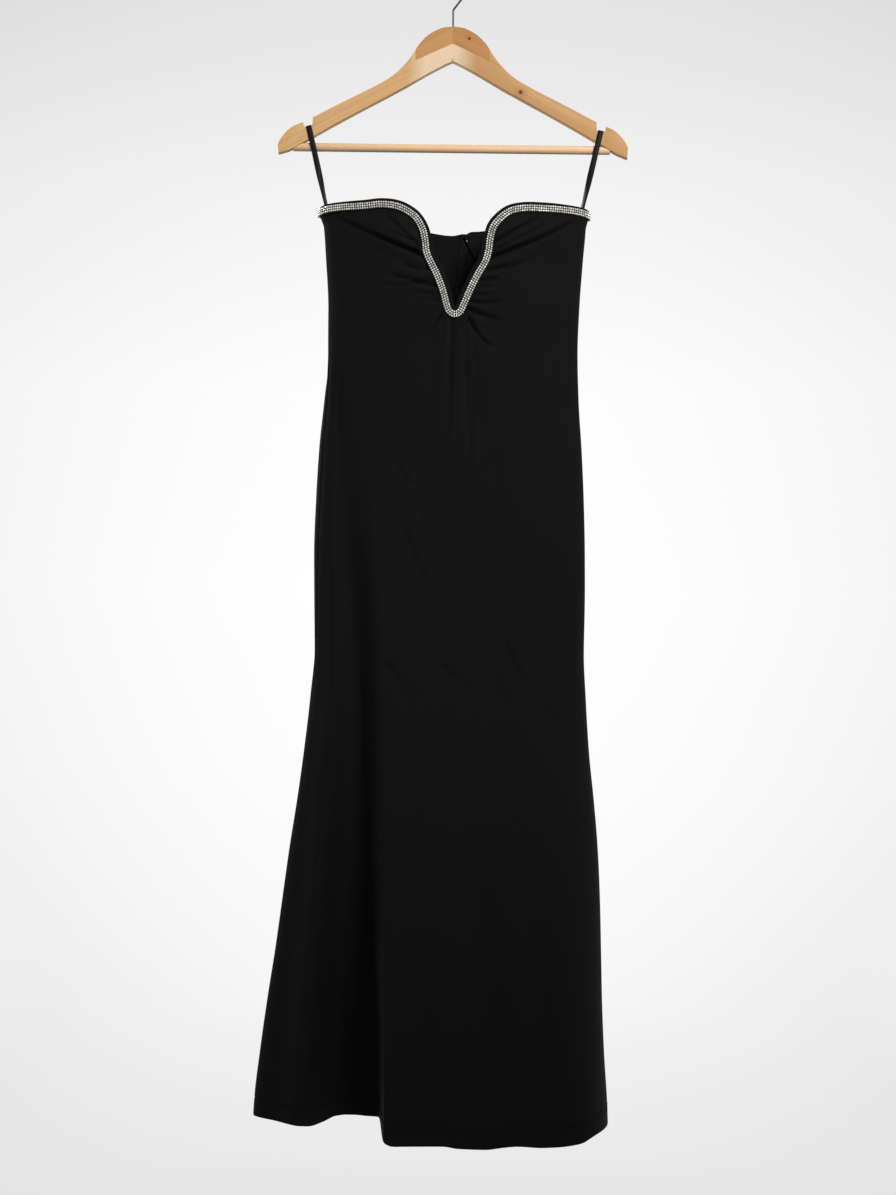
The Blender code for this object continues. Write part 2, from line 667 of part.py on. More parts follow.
def make_back(side, seam_heights, group):
    """One back panel."""
    columns = []
    for column in range(BACK_COLUMNS + 3):
        x = back_point(side, column, BACK_EDGE_Z)[0]
        hem_x = back_point(side, column, HEM_Z)[0]
        heights = back_heights(seam_heights, x, hem_x)
        columns.append([back_point(side, column, z) for z in heights])
    rows = list(zip(*columns))
    vertices = [point for row in rows for point in row]
    mesh = mesh_of("back_" + side, vertices, grid_faces(len(rows), len(columns)))
    thicken(add_object("back_" + side, mesh, "jersey", group), CLOTH)


def box(name, size, centre):
    """A block as a mesh, sizes and centre in millimetres."""
    made = bmesh.new()
    bmesh.ops.create_cube(made, size=1.0)
    bmesh.ops.scale(made, vec=Vector(size) * MM, verts=made.verts[:])
    bmesh.ops.translate(made, vec=Vector(centre) * MM, verts=made.verts[:])
    mesh = bpy.data.meshes.new(name)
    made.to_mesh(mesh)
    made.free()
    return mesh


def rod(name, radius, start, end, sides=24):
    """A round rod between two points, as a mesh."""
    start, end = Vector(start) * MM, Vector(end) * MM
    made = bmesh.new()
    bmesh.ops.create_cone(made, cap_ends=True, segments=sides, radius1=radius * MM, radius2=radius * MM,
                          depth=(end - start).length)
    turn = (end - start).to_track_quat("Z", "Y").to_matrix()
    bmesh.ops.rotate(made, matrix=turn, verts=made.verts[:])
    bmesh.ops.translate(made, vec=(start + end) / 2, verts=made.verts[:])
    mesh = bpy.data.meshes.new(name)
    made.to_mesh(mesh)
    made.free()
    return mesh


def combine(made, mesh, operation, cutters):
    """Cut a mesh out of an object, or join it on."""
    tool = add_object(mesh.name, mesh, None, cutters)
    tool.hide_render = True
    tool.display_type = "WIRE"
    change = made.modifiers.new(mesh.name, "BOOLEAN")
    change.operation = operation
    change.object = tool


def round_edges(made, width, segments):
    """Rounded edges."""
    bevel = made.modifiers.new("rounded", "BEVEL")
    bevel.width = width * MM
    bevel.segments = segments
    bevel.limit_method = "ANGLE"
    bevel.angle_limit = math.radians(40)


def make_zip(group, cutters, seam_heights):
    """Concealed centre back zip: tape inside, slider and pull tab outside at the top."""
    top = smooth(BACK_EDGE["x"], BACK_EDGE["z"], SECTIONS["zip_x"][0]) - ZIP_DROP
    tape_rows = []
    heights = [z for z in back_heights(seam_heights, SECTIONS["zip_x"][0], 0.0)
               if top - ZIP_LENGTH < z < top]
    for z in [top, *heights, top - ZIP_LENGTH]:
        middle = zip_run(z)
        face, back = [], []
        for across in (-0.5, -0.02, 0.02, 0.5):
            run = middle + across * TAPE_WIDTH
            inward = -outward(z, run)
            for line, depth in ((face, CLOTH + SEAM_GAP), (back, CLOTH + SEAM_GAP + TAPE)):
                x, y = place(z, run) + inward * depth
                line.append((x, y, z))
        tape_rows.append(face + back[::-1])
    add_object("zip_tape", loft("zip_tape", tape_rows), "tape", group)

    z = top - SLIDER_DROP - SLIDER[2] / 2
    x, y = place(z, zip_run(z))
    foot = y + SLIDER_GAP
    slider = add_object("zip_slider", box("zip_slider", SLIDER, (x, foot + SLIDER[1] / 2, z)), "enamel", group)
    round_edges(slider, SLIDER_ROUND, 1)
    lug = box("zip_lug", LUG, (x, foot + SLIDER[1] + LUG[1] / 2 - LUG_SUNK, z))
    combine(slider, lug, "UNION", cutters)
    hinge = (x, foot + HINGE_LIFT, z)
    bore = rod("zip_bore", LUG_BORE, (x - LUG[0], hinge[1], z), (x + LUG[0], hinge[1], z), 16)
    combine(slider, bore, "DIFFERENCE", cutters)
    make_pull(group, cutters, hinge)


def make_pull(group, cutters, hinge):
    """Pull tab, hung on the slider's lug; its object stands on the hinge line."""
    width, thick, length = PULL
    waist = width * PULL_WAIST
    widest = -length * PULL_WIDEST
    outline = [(-waist / 2, PULL_BAR / 2), (waist / 2, PULL_BAR / 2), (width / 2, widest)]
    turns = np.linspace(0.0, math.pi, 9)
    tip = -length + width / 2
    outline += [(width / 2 * math.cos(turn), tip - width / 2 * math.sin(turn)) for turn in turns]
    outline += [(-width / 2, widest)]
    sections = [[(x, depth, z) for x, z in outline] for depth in (-thick / 2, thick / 2)]
    pull = add_object("zip_pull", loft("zip_pull", sections), "enamel", group)
    pull.location = Vector(hinge) * MM
    eye_z = -PULL_BAR / 2 - PULL_EYE[1] / 2
    eye = box("pull_eye", (PULL_EYE[0], thick * 3, PULL_EYE[1]), (0, 0, eye_z))
    combine(pull, eye, "DIFFERENCE", cutters)
    cutters.objects["pull_eye"].location = pull.location


def loop_strand(foot, over, face_y):
    """One strand of a loop from its sewn foot to the notch: points, and how far each is turned to its foot."""
    strand = []
    for share in (0.0, 0.5, 1.0):
        strand.append((foot[0], foot[1], LOOP_FOOT + (LOOP_LEAVE - LOOP_FOOT) * share, 1.0))
    for share in (0.1, 0.2, 0.3, 0.42, 0.55, 0.7, 0.85, 0.95):
        x = foot[0] + (over[0] - foot[0]) * share
        y = foot[1] + (face_y - foot[1]) * ease(share / LOOP_LIE)
        z = LOOP_LEAVE + (over[1] - LOOP_LEAVE) * share
        strand.append((x, y, z, 1.0 - ease(share / LOOP_TWIST)))
    for share, drop in LOOP_SHOULDERS:
        lean = (foot[0] - over[0]) * drop / (over[1] - LOOP_LEAVE)
        strand.append((over[0] + lean, face_y * share, over[1] - drop, 0.0))
    return strand


def make_loop(side, group):
    """Ribbon loop: up from inside the side seam, over the arm's notch and down again behind."""
    seam_run = front_ends(LOOP_FOOT)[0 if side == "left" else 1]
    inward = -outward(LOOP_FOOT, seam_run)
    foot_turn = math.atan2(inward[0], -inward[1])
    over = LOOP_NOTCH[side]
    outer_foot = place(LOOP_FOOT, seam_run) + inward * (CLOTH + LOOP_CLEAR + RIBBON / 2)
    inner_foot = outer_foot + inward * (RIBBON + STRAND_GAP)
    path = loop_strand(inner_foot, over, -LOOP_DEPTH)
    path += [(over[0], 0.0, over[1], 0.0)]
    path += loop_strand(outer_foot, over, LOOP_DEPTH)[::-1]
    rise = Vector((over[0] - outer_foot[0], 0.0, over[1] - LOOP_LEAVE)).normalized()
    sections = []
    for step, (x, y, z, twist) in enumerate(path):
        before = Vector(path[max(step - 1, 0)][:3])
        after = Vector(path[min(step + 1, len(path) - 1)][:3])
        ahead = (after - before).normalized()
        turn = foot_turn * twist
        wide = Vector((math.cos(turn), math.sin(turn), 0.0))
        if twist == 0.0:
            wide = Vector((rise[2], 0.0, -rise[0]))
        wide = (wide - ahead * wide.dot(ahead)).normalized()
        thick = ahead.cross(wide).normalized()
        sections.append([Vector((x, y, z)) + wide * (RIBBON_WIDTH / 2 * a) + thick * (RIBBON / 2 * b)
                         for a, b in ((-1, -1), (1, -1), (1, 1), (-1, 1))])
    add_object("loop_" + side, loft("loop_" + side, sections), "satin", group)


def make_arm(side, group, cutters):
    """One wooden arm, mitred at the centre, with its notch and its sockets for bar and hook."""
    sign = -1 if side == "left" else 1
    edge = MITRE_GAP / 2
    outline = []
    for outline_part in (ARM_TOP, ARM_UNDER):
        for x, z in zip(outline_part["x"], outline_part["z"]):
            outline.append((sign * max(x * ARM_REACH[side], edge), z))
    sections = [[(x, depth, z) for x, z in outline] for depth in (-ARM_THICK / 2, ARM_THICK / 2)]
    name = "hanger_arm_" + side
    arm = add_object(name, loft(name, sections), "beech", group)
    round_edges(arm, ARM_ROUND, 2)
    x, z = NOTCH[side]
    notch = rod("notch_" + side, NOTCH_RADIUS, (x, -PAST, z), (x, PAST, z))
    bar_end = sign * (BAR_END + FIT)
    bar = rod("bar_socket_" + side, BAR_RADIUS + FIT, (sign * BAR_SOCKET, 0, BAR_Z), (bar_end, 0, BAR_Z))
    stem_foot = WOOD_TOP - STEM_DEPTH - FIT
    stem = rod("stem_socket_" + side, WIRE_RADIUS + FIT, (0, 0, stem_foot), (0, 0, WOOD_TOP + PAST))
    for cutter in (notch, bar, stem):
        combine(arm, cutter, "DIFFERENCE", cutters)


def hook_line():
    """Middle line of the hook's wire, from inside the wood to its open end."""
    lean = math.radians(HOOK_LEAN)
    centre = -(HOOK_RADIUS - WIRE_RADIUS)
    kink = centre - HOOK_RADIUS / math.sin(lean)
    points = [(0.0, WOOD_TOP - STEM_DEPTH)]
    back_off = STEM_BEND * math.tan(lean / 2)
    for turn in np.linspace(0.0, lean, 4):
        points.append((STEM_BEND * (1 - math.cos(turn)), kink - back_off + STEM_BEND * math.sin(turn)))
    for turn in np.radians(np.arange(-HOOK_LEAN, HOOK_END + 0.1, (HOOK_END + HOOK_LEAN) / 21)):
        points.append((HOOK_RADIUS * math.cos(turn), centre + HOOK_RADIUS * math.sin(turn)))
    return points


def make_hook(group):
    """Steel wire hook."""
    wire = bpy.data.curves.new("hanger_hook", "CURVE")
    wire.dimensions = "3D"
    wire.bevel_depth = WIRE_RADIUS * MM
    wire.bevel_resolution = 2
    wire.use_fill_caps = True
    line = hook_line()
    spline = wire.splines.new("POLY")
    spline.points.add(len(line) - 1)
    for point, (x, z) in zip(spline.points, line):
        point.co = (x * MM, 0.0, z * MM, 1.0)
    hook = bpy.data.objects.new("hanger_hook", wire)
    group.objects.link(hook)
    wire.materials.append(material("steel"))


def main():
    """Build the dress and its hanger."""
    for old in list(bpy.data.objects):
        bpy.data.objects.remove(old, do_unlink=True)
    dress = collection("fitted_dress")
    cutters = collection("cutters")

    cloth, columns, seam_heights = make_front(dress)
    make_trim(dress, cloth, columns)
    for side in ("left", "right"):
        make_back(side, seam_heights, dress)
        make_loop(side, dress)
        make_arm(side, dress, cutters)
    make_zip(dress, cutters, seam_heights)
    bar = rod("hanger_bar", BAR_RADIUS, (-BAR_END, 0, BAR_Z), (BAR_END, 0, BAR_Z), 20)
    add_object("hanger_bar", bar, "pale_beech", dress)
    make_hook(dress)
    for made in dress.objects:
        if made.type == "MESH":
            made.data.shade_smooth()
            made.data.set_sharp_from_angle(angle=math.radians(40))


main()
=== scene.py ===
# Strapless black jersey dress with a stone-trimmed neck, on its wooden hanger.
# Sizes are in millimetres up to the point where a mesh is made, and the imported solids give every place.
import math

import bpy
import numpy as np
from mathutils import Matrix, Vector


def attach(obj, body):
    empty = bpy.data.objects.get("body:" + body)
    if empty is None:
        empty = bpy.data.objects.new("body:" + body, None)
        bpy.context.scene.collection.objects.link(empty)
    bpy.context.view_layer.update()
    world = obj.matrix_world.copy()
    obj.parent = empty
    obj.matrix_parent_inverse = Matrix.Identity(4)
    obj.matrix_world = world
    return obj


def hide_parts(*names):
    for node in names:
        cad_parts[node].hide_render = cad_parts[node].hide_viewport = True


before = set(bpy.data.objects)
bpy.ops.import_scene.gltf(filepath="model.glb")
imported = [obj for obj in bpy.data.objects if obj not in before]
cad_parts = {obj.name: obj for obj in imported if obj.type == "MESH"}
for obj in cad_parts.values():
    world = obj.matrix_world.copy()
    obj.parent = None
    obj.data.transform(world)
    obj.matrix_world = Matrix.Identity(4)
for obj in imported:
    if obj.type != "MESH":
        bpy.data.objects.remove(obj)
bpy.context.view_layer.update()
bpy.ops.object.select_all(action="DESELECT")
mm = 0.001
rng = np.random.default_rng(7)


# Small helpers for curves and tables

def table(columns, *rows):
    values = np.array(rows, dtype=float)
    return {name: values[:, place] for place, name in enumerate(columns.split())}


def smooth(xs, ys, at):  # never overshoots its points
    steps = np.diff(xs)
    rises = np.diff(ys) / steps
    before, after = rises[:-1], rises[1:]
    agree = before * after > 0
    slopes = np.zeros(len(xs))
    slopes[0], slopes[-1] = rises[0], rises[-1]
    slopes[1:-1] = np.where(agree, 2 * before * after / np.where(agree, before + after, 1.0), 0.0)
    span = np.clip(np.searchsorted(xs, at) - 1, 0, len(steps) - 1)
    t = np.clip((at - xs[span]) / steps[span], 0.0, 1.0)
    pullStart, pullEnd = slopes[span] * steps[span], slopes[span + 1] * steps[span]
    return ((2 * t**3 - 3 * t**2 + 1) * ys[span] + (t**3 - 2 * t**2 + t) * pullStart
            + (3 * t**2 - 2 * t**3) * ys[span + 1] + (t**3 - t**2) * pullEnd)


def ease(value):
    t = np.clip(value, 0.0, 1.0)
    return t * t * (3 - 2 * t)


def alongLine(points):
    return np.concatenate([[0.0], np.cumsum(np.linalg.norm(np.diff(points, axis=0), axis=1))])


def onLine(at, run, line):  # places on a line, by distance from its start
    return np.stack([np.interp(at, run, line[:, axis]) for axis in range(line.shape[1])], axis=-1)


def unit(vectors):
    return vectors / np.linalg.norm(vectors, axis=-1)[..., None]


def bendsOf(step):  # how far a line turns at each of its points
    heading = np.unwrap(np.arctan2(step[:, 1], step[:, 0]))
    return np.concatenate([[0.0], np.abs(np.diff(heading)), [0.0]])


def spacedBy(weight, places, count):  # places closer together where the weight grows faster
    return np.interp(np.linspace(0, 1, count), (weight - weight[0]) / (weight[-1] - weight[0]), places)


def curveThrough(knots, steps=12):  # centripetal, so it doesn't loop at close knots
    knots = np.asarray(knots, dtype=float)
    padded = np.vstack([2 * knots[0] - knots[1], knots, 2 * knots[-1] - knots[-2]])
    points = [knots[0]]
    for place in range(1, len(padded) - 2):
        p0, p1, p2, p3 = padded[place - 1:place + 3]
        t0 = 0.0
        t1 = t0 + math.sqrt(np.linalg.norm(p1 - p0))
        t2 = t1 + math.sqrt(np.linalg.norm(p2 - p1))
        t3 = t2 + math.sqrt(np.linalg.norm(p3 - p2))
        for step in range(1, steps + 1):
            t = t1 + (t2 - t1) * step / steps
            a1 = (t1 - t) / (t1 - t0) * p0 + (t - t0) / (t1 - t0) * p1
            a2 = (t2 - t) / (t2 - t1) * p1 + (t - t1) / (t2 - t1) * p2
            a3 = (t3 - t) / (t3 - t2) * p2 + (t - t2) / (t3 - t2) * p3
            b1 = (t2 - t) / (t2 - t0) * a1 + (t - t0) / (t2 - t0) * a2
            b2 = (t3 - t) / (t3 - t1) * a2 + (t - t1) / (t3 - t1) * a3
            points.append((t2 - t) / (t2 - t1) * b1 + (t - t1) / (t2 - t1) * b2)
    return np.array(points)


# Materials: one wrapper for sockets, one method that makes nodes

def seen(red, green, blue):  # a colour as it looks on screen, 0 to 255
    def linear(value):
        value /= 255
        return value / 12.92 if value <= 0.04045 else ((value + 0.055) / 1.055) ** 2.4
    return (linear(red), linear(green), linear(blue), 1.0)


class Wire:
    def __init__(self, finish, socket):
        self.finish = finish
        self.socket = socket

    def sum(self, operation, first, second):
        return self.finish.add("Math", {"operation": operation}, {0: first, 1: second})

    def __add__(self, other): return self.sum("ADD", self, other)
    def __radd__(self, other): return self.sum("ADD", other, self)
    def __sub__(self, other): return self.sum("SUBTRACT", self, other)
    def __rsub__(self, other): return self.sum("SUBTRACT", other, self)
    def __mul__(self, other): return self.sum("MULTIPLY", self, other)
    def __truediv__(self, other): return self.sum("DIVIDE", self, other)
    def __pow__(self, other): return self.sum("POWER", self, other)
    def atMost(self, other): return self.sum("MINIMUM", self, other)
    def atLeast(self, other): return self.sum("MAXIMUM", self, other)
    def sine(self): return self.sum("SINE", self, 0.0)
    def size(self): return self.sum("ABSOLUTE", self, 0.0)


class Finish:
    def __init__(self, name, colour, **sockets):
        self.material = bpy.data.materials.new(name)
        self.material.use_nodes = True
        self.tree = self.material.node_tree
        self.shader = self.tree.nodes["Principled BSDF"]
        self.shader.inputs["Base Color"].default_value = colour
        for socket, value in sockets.items():
            self.set(socket, value)

    def set(self, socket, value):
        names = {"roughness": "Roughness", "metallic": "Metallic", "sheen": "Sheen Weight",
                 "coat": "Coat Weight", "sheenRoughness": "Sheen Roughness", "specular": "Specular IOR Level",
                 "colour": "Base Color", "normal": "Normal", "coatRoughness": "Coat Roughness"}
        self.feed(self.shader.inputs[names[socket]], value)

    def feed(self, socket, value):
        if isinstance(value, Wire):
            self.tree.links.new(value.socket, socket)
        else:
            socket.default_value = value

    def add(self, kind, settings=None, inputs=None, output=0):
        node = self.tree.nodes.new("ShaderNode" + kind)
        for name, value in (settings or {}).items():
            if name == "stops":
                ramp = node.color_ramp
                while len(ramp.elements) < len(value):
                    ramp.elements.new(0.5)
                for element, (place, colour) in zip(ramp.elements, value):
                    element.position = place
                    element.color = colour
            else:
                setattr(node, name, value)
        for name, value in (inputs or {}).items():
            self.feed(node.inputs[name], value)
        return Wire(self, node.outputs[output])

    def mix(self, factor, first, second, blend="MIX"):
        return self.add("Mix", {"data_type": "RGBA", "blend_type": blend},
                        {0: factor, 6: first, 7: second}, 2)

    def noise(self, vector, scale, detail=2.0, roughness=0.5):
        return self.add("TexNoise", None, {"Vector": vector, "Scale": scale, "Detail": detail,
                                           "Roughness": roughness})

    def place(self, kind="Object"):
        return self.add("TexCoord", None, None, kind)

    def moved(self, vector, location=(0, 0, 0), rotation=(0, 0, 0), scale=(1, 1, 1)):
        return self.add("Mapping", None, {"Vector": vector, "Location": location, "Rotation": rotation,
                                          "Scale": scale})

    def axes(self, vector):
        return [self.add("SeparateXYZ", None, {"Vector": vector}, axis) for axis in range(3)]

    def between(self, value, low, high, **settings):  # 0 at low, 1 at high
        return self.add("MapRange", settings, {"Value": value, "From Min": low, "From Max": high})

    def bump(self, height, strength, distance):
        self.set("normal", self.add("Bump", None, {"Height": height, "Strength": strength,
                                                   "Distance": distance}))

    def paint(self, *pieces):
        for piece in pieces:
            piece.data.materials.clear()
            piece.data.materials.append(self.material)


def mottled(name, colour, scale, dark, light, **sockets):  # the colour wanders between two
    made = Finish(name, seen(*colour), **sockets)
    made.set("colour", made.mix(made.noise(made.place(), scale), seen(*dark), seen(*light)))
    return made


def rubbed(name, colour, scale, least, more, **sockets):  # the roughness wanders
    made = Finish(name, seen(*colour), **sockets)
    made.set("roughness", least + made.noise(made.place(), scale) * more)
    return made


def woven(name, colour, scale, dark, light, bump, stretch=(1, 1, 1), **sockets):  # one weave for both
    made = Finish(name, seen(*colour), **sockets)
    weave = made.noise(made.moved(made.place(), scale=stretch), scale)
    made.set("colour", made.mix(weave, seen(*dark), seen(*light)))
    made.bump(weave, *bump)
    return made


# Objects from points in millimetres

def meshObject(name, points, faces, uv=None):
    mesh = bpy.data.meshes.new(name)
    mesh.from_pydata([tuple(point) for point in np.asarray(points) * mm], [], faces)
    if uv is not None:
        layer = mesh.uv_layers.new(name="UVMap")
        corner = np.zeros(len(mesh.loops), dtype=np.int32)
        mesh.loops.foreach_get("vertex_index", corner)
        layer.data.foreach_set("uv", np.asarray(uv, dtype=np.float32)[corner].ravel())
    made = bpy.data.objects.new(name, mesh)
    bpy.context.scene.collection.objects.link(made)
    mesh.shade_smooth()
    return made


def capped(faces, count, total):  # closes both ends of a tube whose rings have count points
    return faces + [tuple(range(count)), tuple(reversed(range(total - count, total)))]


def gridFaces(rows, columns, around=False):
    faces = []
    wide = columns if around else columns - 1
    for row in range(rows - 1):
        for column in range(wide):
            after = (column + 1) % columns
            low, high = row * columns, (row + 1) * columns
            faces.append((high + column, high + after, low + after, low + column))
    return faces


def choose(piece):
    bpy.ops.object.select_all(action="DESELECT")
    piece.select_set(True)
    bpy.context.view_layer.objects.active = piece


def applyModifier(piece, kind, **settings):
    choose(piece)
    change = piece.modifiers.new(kind.lower(), kind)
    for name, value in settings.items():
        setattr(change, name, value)
    bpy.ops.object.modifier_apply(modifier=change.name)


def pickFaces(piece, wanted):  # leaves the piece in edit mode with these faces selected
    bpy.ops.object.mode_set(mode="EDIT")
    bpy.ops.mesh.select_mode(type="FACE")
    bpy.ops.mesh.select_all(action="DESELECT")
    bpy.ops.object.mode_set(mode="OBJECT")
    for face in piece.data.polygons:
        face.select = wanted(face.normal)
    bpy.ops.object.mode_set(mode="EDIT")


# Painted shade: this measure darkens the jersey's colour in the creases, where the cloth lies below its
# surroundings.
def creaseShade(points, lift):  # how far each place lies below the cloth a few millimetres round it, 0 to 1
    level = np.zeros_like(lift)
    weight = np.zeros_like(lift)
    for down in range(-4, 5):
        for across in range(-3, 4):
            near = np.roll(np.roll(lift, down, 0), across, 1)
            gap = np.linalg.norm(np.roll(np.roll(points, down, 0), across, 1) - points, axis=-1)
            share = np.exp(-(gap / cloth["shadeReach"]) ** 2)
            level += near * share
            weight += share
    return np.clip((level / weight - lift) / cloth["shadeDepth"], 0.0, 1.0)


def clothSheet(name, points, uv, hollow):  # rows run down, columns run round the body, outer face first
    rows, columns = points.shape[:2]
    made = meshObject(name, points.reshape(-1, 3), gridFaces(rows, columns), uv.reshape(-1, 2))
    shade = made.data.attributes.new("hollow", "FLOAT", "POINT")
    shade.data.foreach_set("value", hollow.ravel().astype(np.float32))
    applyModifier(made, "SOLIDIFY", thickness=cloth["thick"] * mm, offset=-1.0)
    return made


def tube(name, line, radius, sides):
    line = np.asarray(line, dtype=float)
    ahead = unit(np.gradient(line, axis=0))
    side = np.cross(ahead[0], (0.0, 0.0, 1.0))
    if np.linalg.norm(side) < 0.1:
        side = np.array([1.0, 0.0, 0.0])
    turns = np.arange(sides) * 2 * math.pi / sides
    points = []
    for point, forward in zip(line, ahead):
        side = side - forward * side.dot(forward)
        side /= np.linalg.norm(side)
        up = np.cross(side, forward)
        points += [point + radius * (math.cos(turn) * side + math.sin(turn) * up) for turn in turns]
    return meshObject(name, points, capped(gridFaces(len(line), sides, around=True), sides, len(points)))


# The body of the dress: the same plan as its solids, read more finely

cloth = {
    "thick": 1.6, "seamGap": 0.03, "seamTop": -311.5, "merge": -500.0, "width": 345.0, "hemZ": -1465.0,
    "sideCrown": 0.10, "valleyShare": 0.3, "flutes": 2.5, "fluteStart": 0.6, "settle": 220.0,
    "levelStep": 2.5, "top": -292.0, "bottom": -1486.0, "samples": {"front": 700, "right": 360, "left": 360},
    "flare": 2.2, "flareWidth": 34.0, "flareFoot": -334.0, "flareFade": 14.0,
    "shadeReach": 5.0, "shadeDepth": 0.9, "reliefFade": 6.0,
}
# what every panel has along its seams and its hem
panelEdge = {
    "seamSteps": (0.0, 0.7, 1.6, 2.8), "seamDip": 1.0, "seamDipWidth": 3.2,
    "hemRows": 10, "hemDepth": 26.0, "hemLine": 21.0, "hemPinch": 0.45, "pinchWidth": 1.6,
}

bodyPlan = table(
    "z      left   right  front back flat  foldX fold  wall flute seamL seamR zipX",
    (-290, -163.0, 172.0, 40, 38, 0.25, -142, 0.00, 44, 0, -5, -5, 24),
    (-300, -163.0, 172.0, 40, 38, 0.25, -142, 0.00, 44, 0, -5, -5, 24),
    (-318, -163.3, 171.9, 40, 38, 0.25, -142, 0.00, 44, 0, -5, -5, 24),
    (-337, -160.5, 171.0, 41, 38, 0.25, -142, 0.00, 44, 0, -5, -5, 24),
    (-375, -157.5, 168.0, 41, 38, 0.27, -142, 0.00, 44, 0, -3, -3, 21),
    (-425, -154.5, 165.0, 40, 36, 0.30, -142, 0.00, 44, 0, 0, 0, 16),
    (-488, -153.7, 163.0, 36, 34, 0.32, -140, 0.00, 44, 0, 5, 0, 10),
    (-551, -158.0, 165.0, 36, 36, 0.34, -129, 0.10, 42, 0, 11, 0, 7),
    (-615, -163.6, 169.6, 38, 40, 0.36, -121, 0.18, 40, 0, 13, 0, 6),
    (-678, -166.7, 172.9, 42, 44, 0.38, -114, 0.25, 38, 0, 14, 0, 5),
    (-741, -168.5, 174.9, 46, 48, 0.41, -107, 0.32, 36, 0, 14, 0, 4),
    (-805, -167.7, 175.6, 50, 50, 0.44, -101, 0.40, 34, 0, 13, 0, 3),
    (-868, -167.0, 175.0, 54, 52, 0.47, -97, 0.48, 32, 1, 10, 0, 2),
    (-931, -171.3, 178.3, 58, 56, 0.50, -94, 0.57, 30, 2, 5, 0, 0),
    (-995, -178.2, 182.9, 63, 61, 0.53, -91, 0.66, 28, 3, 2, 0, -2),
    (-1058, -186.4, 189.9, 68, 66, 0.56, -87, 0.75, 26, 5, 0, 0, -4),
    (-1122, -195.8, 195.7, 74, 71, 0.59, -84, 0.82, 24, 6, 0, 0, -6),
    (-1185, -203.9, 199.0, 80, 76, 0.62, -81, 0.88, 21, 7, 0, 0, -8),
    (-1248, -212.0, 201.0, 86, 81, 0.64, -80, 0.93, 18, 8, 0, 0, -9),
    (-1312, -221.4, 203.0, 91, 86, 0.66, -77, 0.97, 15, 9, 0, 0, -10),
    (-1375, -229.6, 206.2, 95, 90, 0.68, -75, 1.00, 13, 10, 0, 0, -11),
    (-1438, -236.5, 210.8, 100, 94, 0.70, -74, 1.00, 11, 11, 0, 0, -12),
    (-1490, -239.0, 213.0, 102, 96, 0.70, -74, 1.00, 10, 11, 0, 0, -12),
)
hangPlan = table("along depth", (0.00, 0.52), (0.20, 0.48), (0.50, 0.64), (0.84, 0.05), (1.00, -0.08))
neckPlan = table(
    "x z",
    (-155, -307.4), (-140, -306.2), (-108, -304.8), (-88, -303.2), (-68, -305.3), (-52, -311.6), (-38, -322.4),
    (-27.2, -340.5), (-23.4, -357.0), (-21.0, -369.0), (-14.6, -381.0), (-8.2, -394.0), (-2.6, -407.5),
    (2.0, -421.7), (4.6, -433.0), (6.2, -438.6), (8.6, -432.0), (14.4, -418.1), (20.6, -404.4),
    (28.0, -390.0), (35.6, -376.6), (39.6, -364.0), (41.4, -352.0), (46.2, -334.5), (56.4, -321.4),
    (70.0, -311.3), (88.0, -306.5), (115, -305.5), (150, -306.9),
    (164, -308.2),
)
backEdge = table(
    "x z",
    (-160, -311.2), (-120, -315), (-75, -325), (-30, -333), (2, -337), (10, -335.6), (18, -333.6),
    (30, -331.8), (46, -330), (70, -325), (120, -315), (169, -311.2),
)
frontHem = table(
    "x z",
    (-237, -1458.5), (-210, -1460.2), (-175, -1462), (-158, -1465), (-147, -1464.2), (-132, -1460),
    (-110, -1460), (-92, -1461.5), (-84, -1461.8), (-78, -1462.4), (-74, -1463.6), (-70, -1466.2), (-65, -1470.2),
    (-58, -1472.2), (-42, -1471.8),
    (4, -1471.2), (22, -1473.8), (56, -1474.7),
    (78, -1472), (95, -1470.8), (124, -1472.4), (145, -1471.6), (163, -1470.4), (175, -1469.4),
    (186, -1465.6), (196, -1463.2), (212, -1461.5),
)
backHem = table("x z", (-237, -1458.5), (-160, -1462), (0, -1464), (140, -1463), (212, -1461.5))


def ring(z):  # plan of the body at one height, once round from the left side by way of the front
    plan = {name: float(smooth(-bodyPlan["z"], column, -z)) for name, column in bodyPlan.items()}
    middle = (plan["left"] + plan["right"]) / 2
    half = (plan["right"] - plan["left"]) / 2
    turn = np.linspace(0.0, math.pi / 2, 70)
    side = plan["flat"] + (1 - plan["flat"]) * np.cos(turn)
    across = np.linspace(-plan["flat"], plan["flat"], 320)[1:-1]
    share = np.concatenate([-side, across, side[::-1]])
    full = np.concatenate([np.sin(turn), np.ones(len(across)), np.sin(turn)[::-1]])
    x = middle + half * share
    body = full * (1 - cloth["sideCrown"] * share**2)
    valley = plan["foldX"] - cloth["valleyShare"] * (plan["foldX"] - plan["left"])
    along = np.clip((x - plan["left"]) / (valley - plan["left"]), 0.0, 1.0)
    hang = np.sqrt(along) * smooth(hangPlan["along"], hangPlan["depth"], along)
    drawnBack = plan["fold"] * (1 - ease((x - plan["foldX"]) / plan["wall"] + 0.5))
    front = -plan["front"] * (body - drawnBack * (body - hang))
    waves = plan["flute"] * full * np.cos(cloth["flutes"] * math.pi * share + cloth["fluteStart"])
    back = plan["back"] * body + waves
    outline = np.vstack([np.column_stack([x, front]), np.column_stack([x, back])[::-1][1:]])
    run = alongLine(outline)
    half = cloth["seamGap"] / 2
    right = run[len(x) - 1] - plan["seamR"]
    zipAt = np.interp(plan["zipX"], outline[:len(x) - 2:-1, 0], run[:len(x) - 2:-1])
    return {"points": outline, "run": run, "frontX": x, "frontRun": run[:len(x)],
            "front": (plan["seamL"] + half, right - half), "right": (right + half, zipAt - half),
            "left": (zipAt + half, run[-1] + plan["seamL"] - half)}


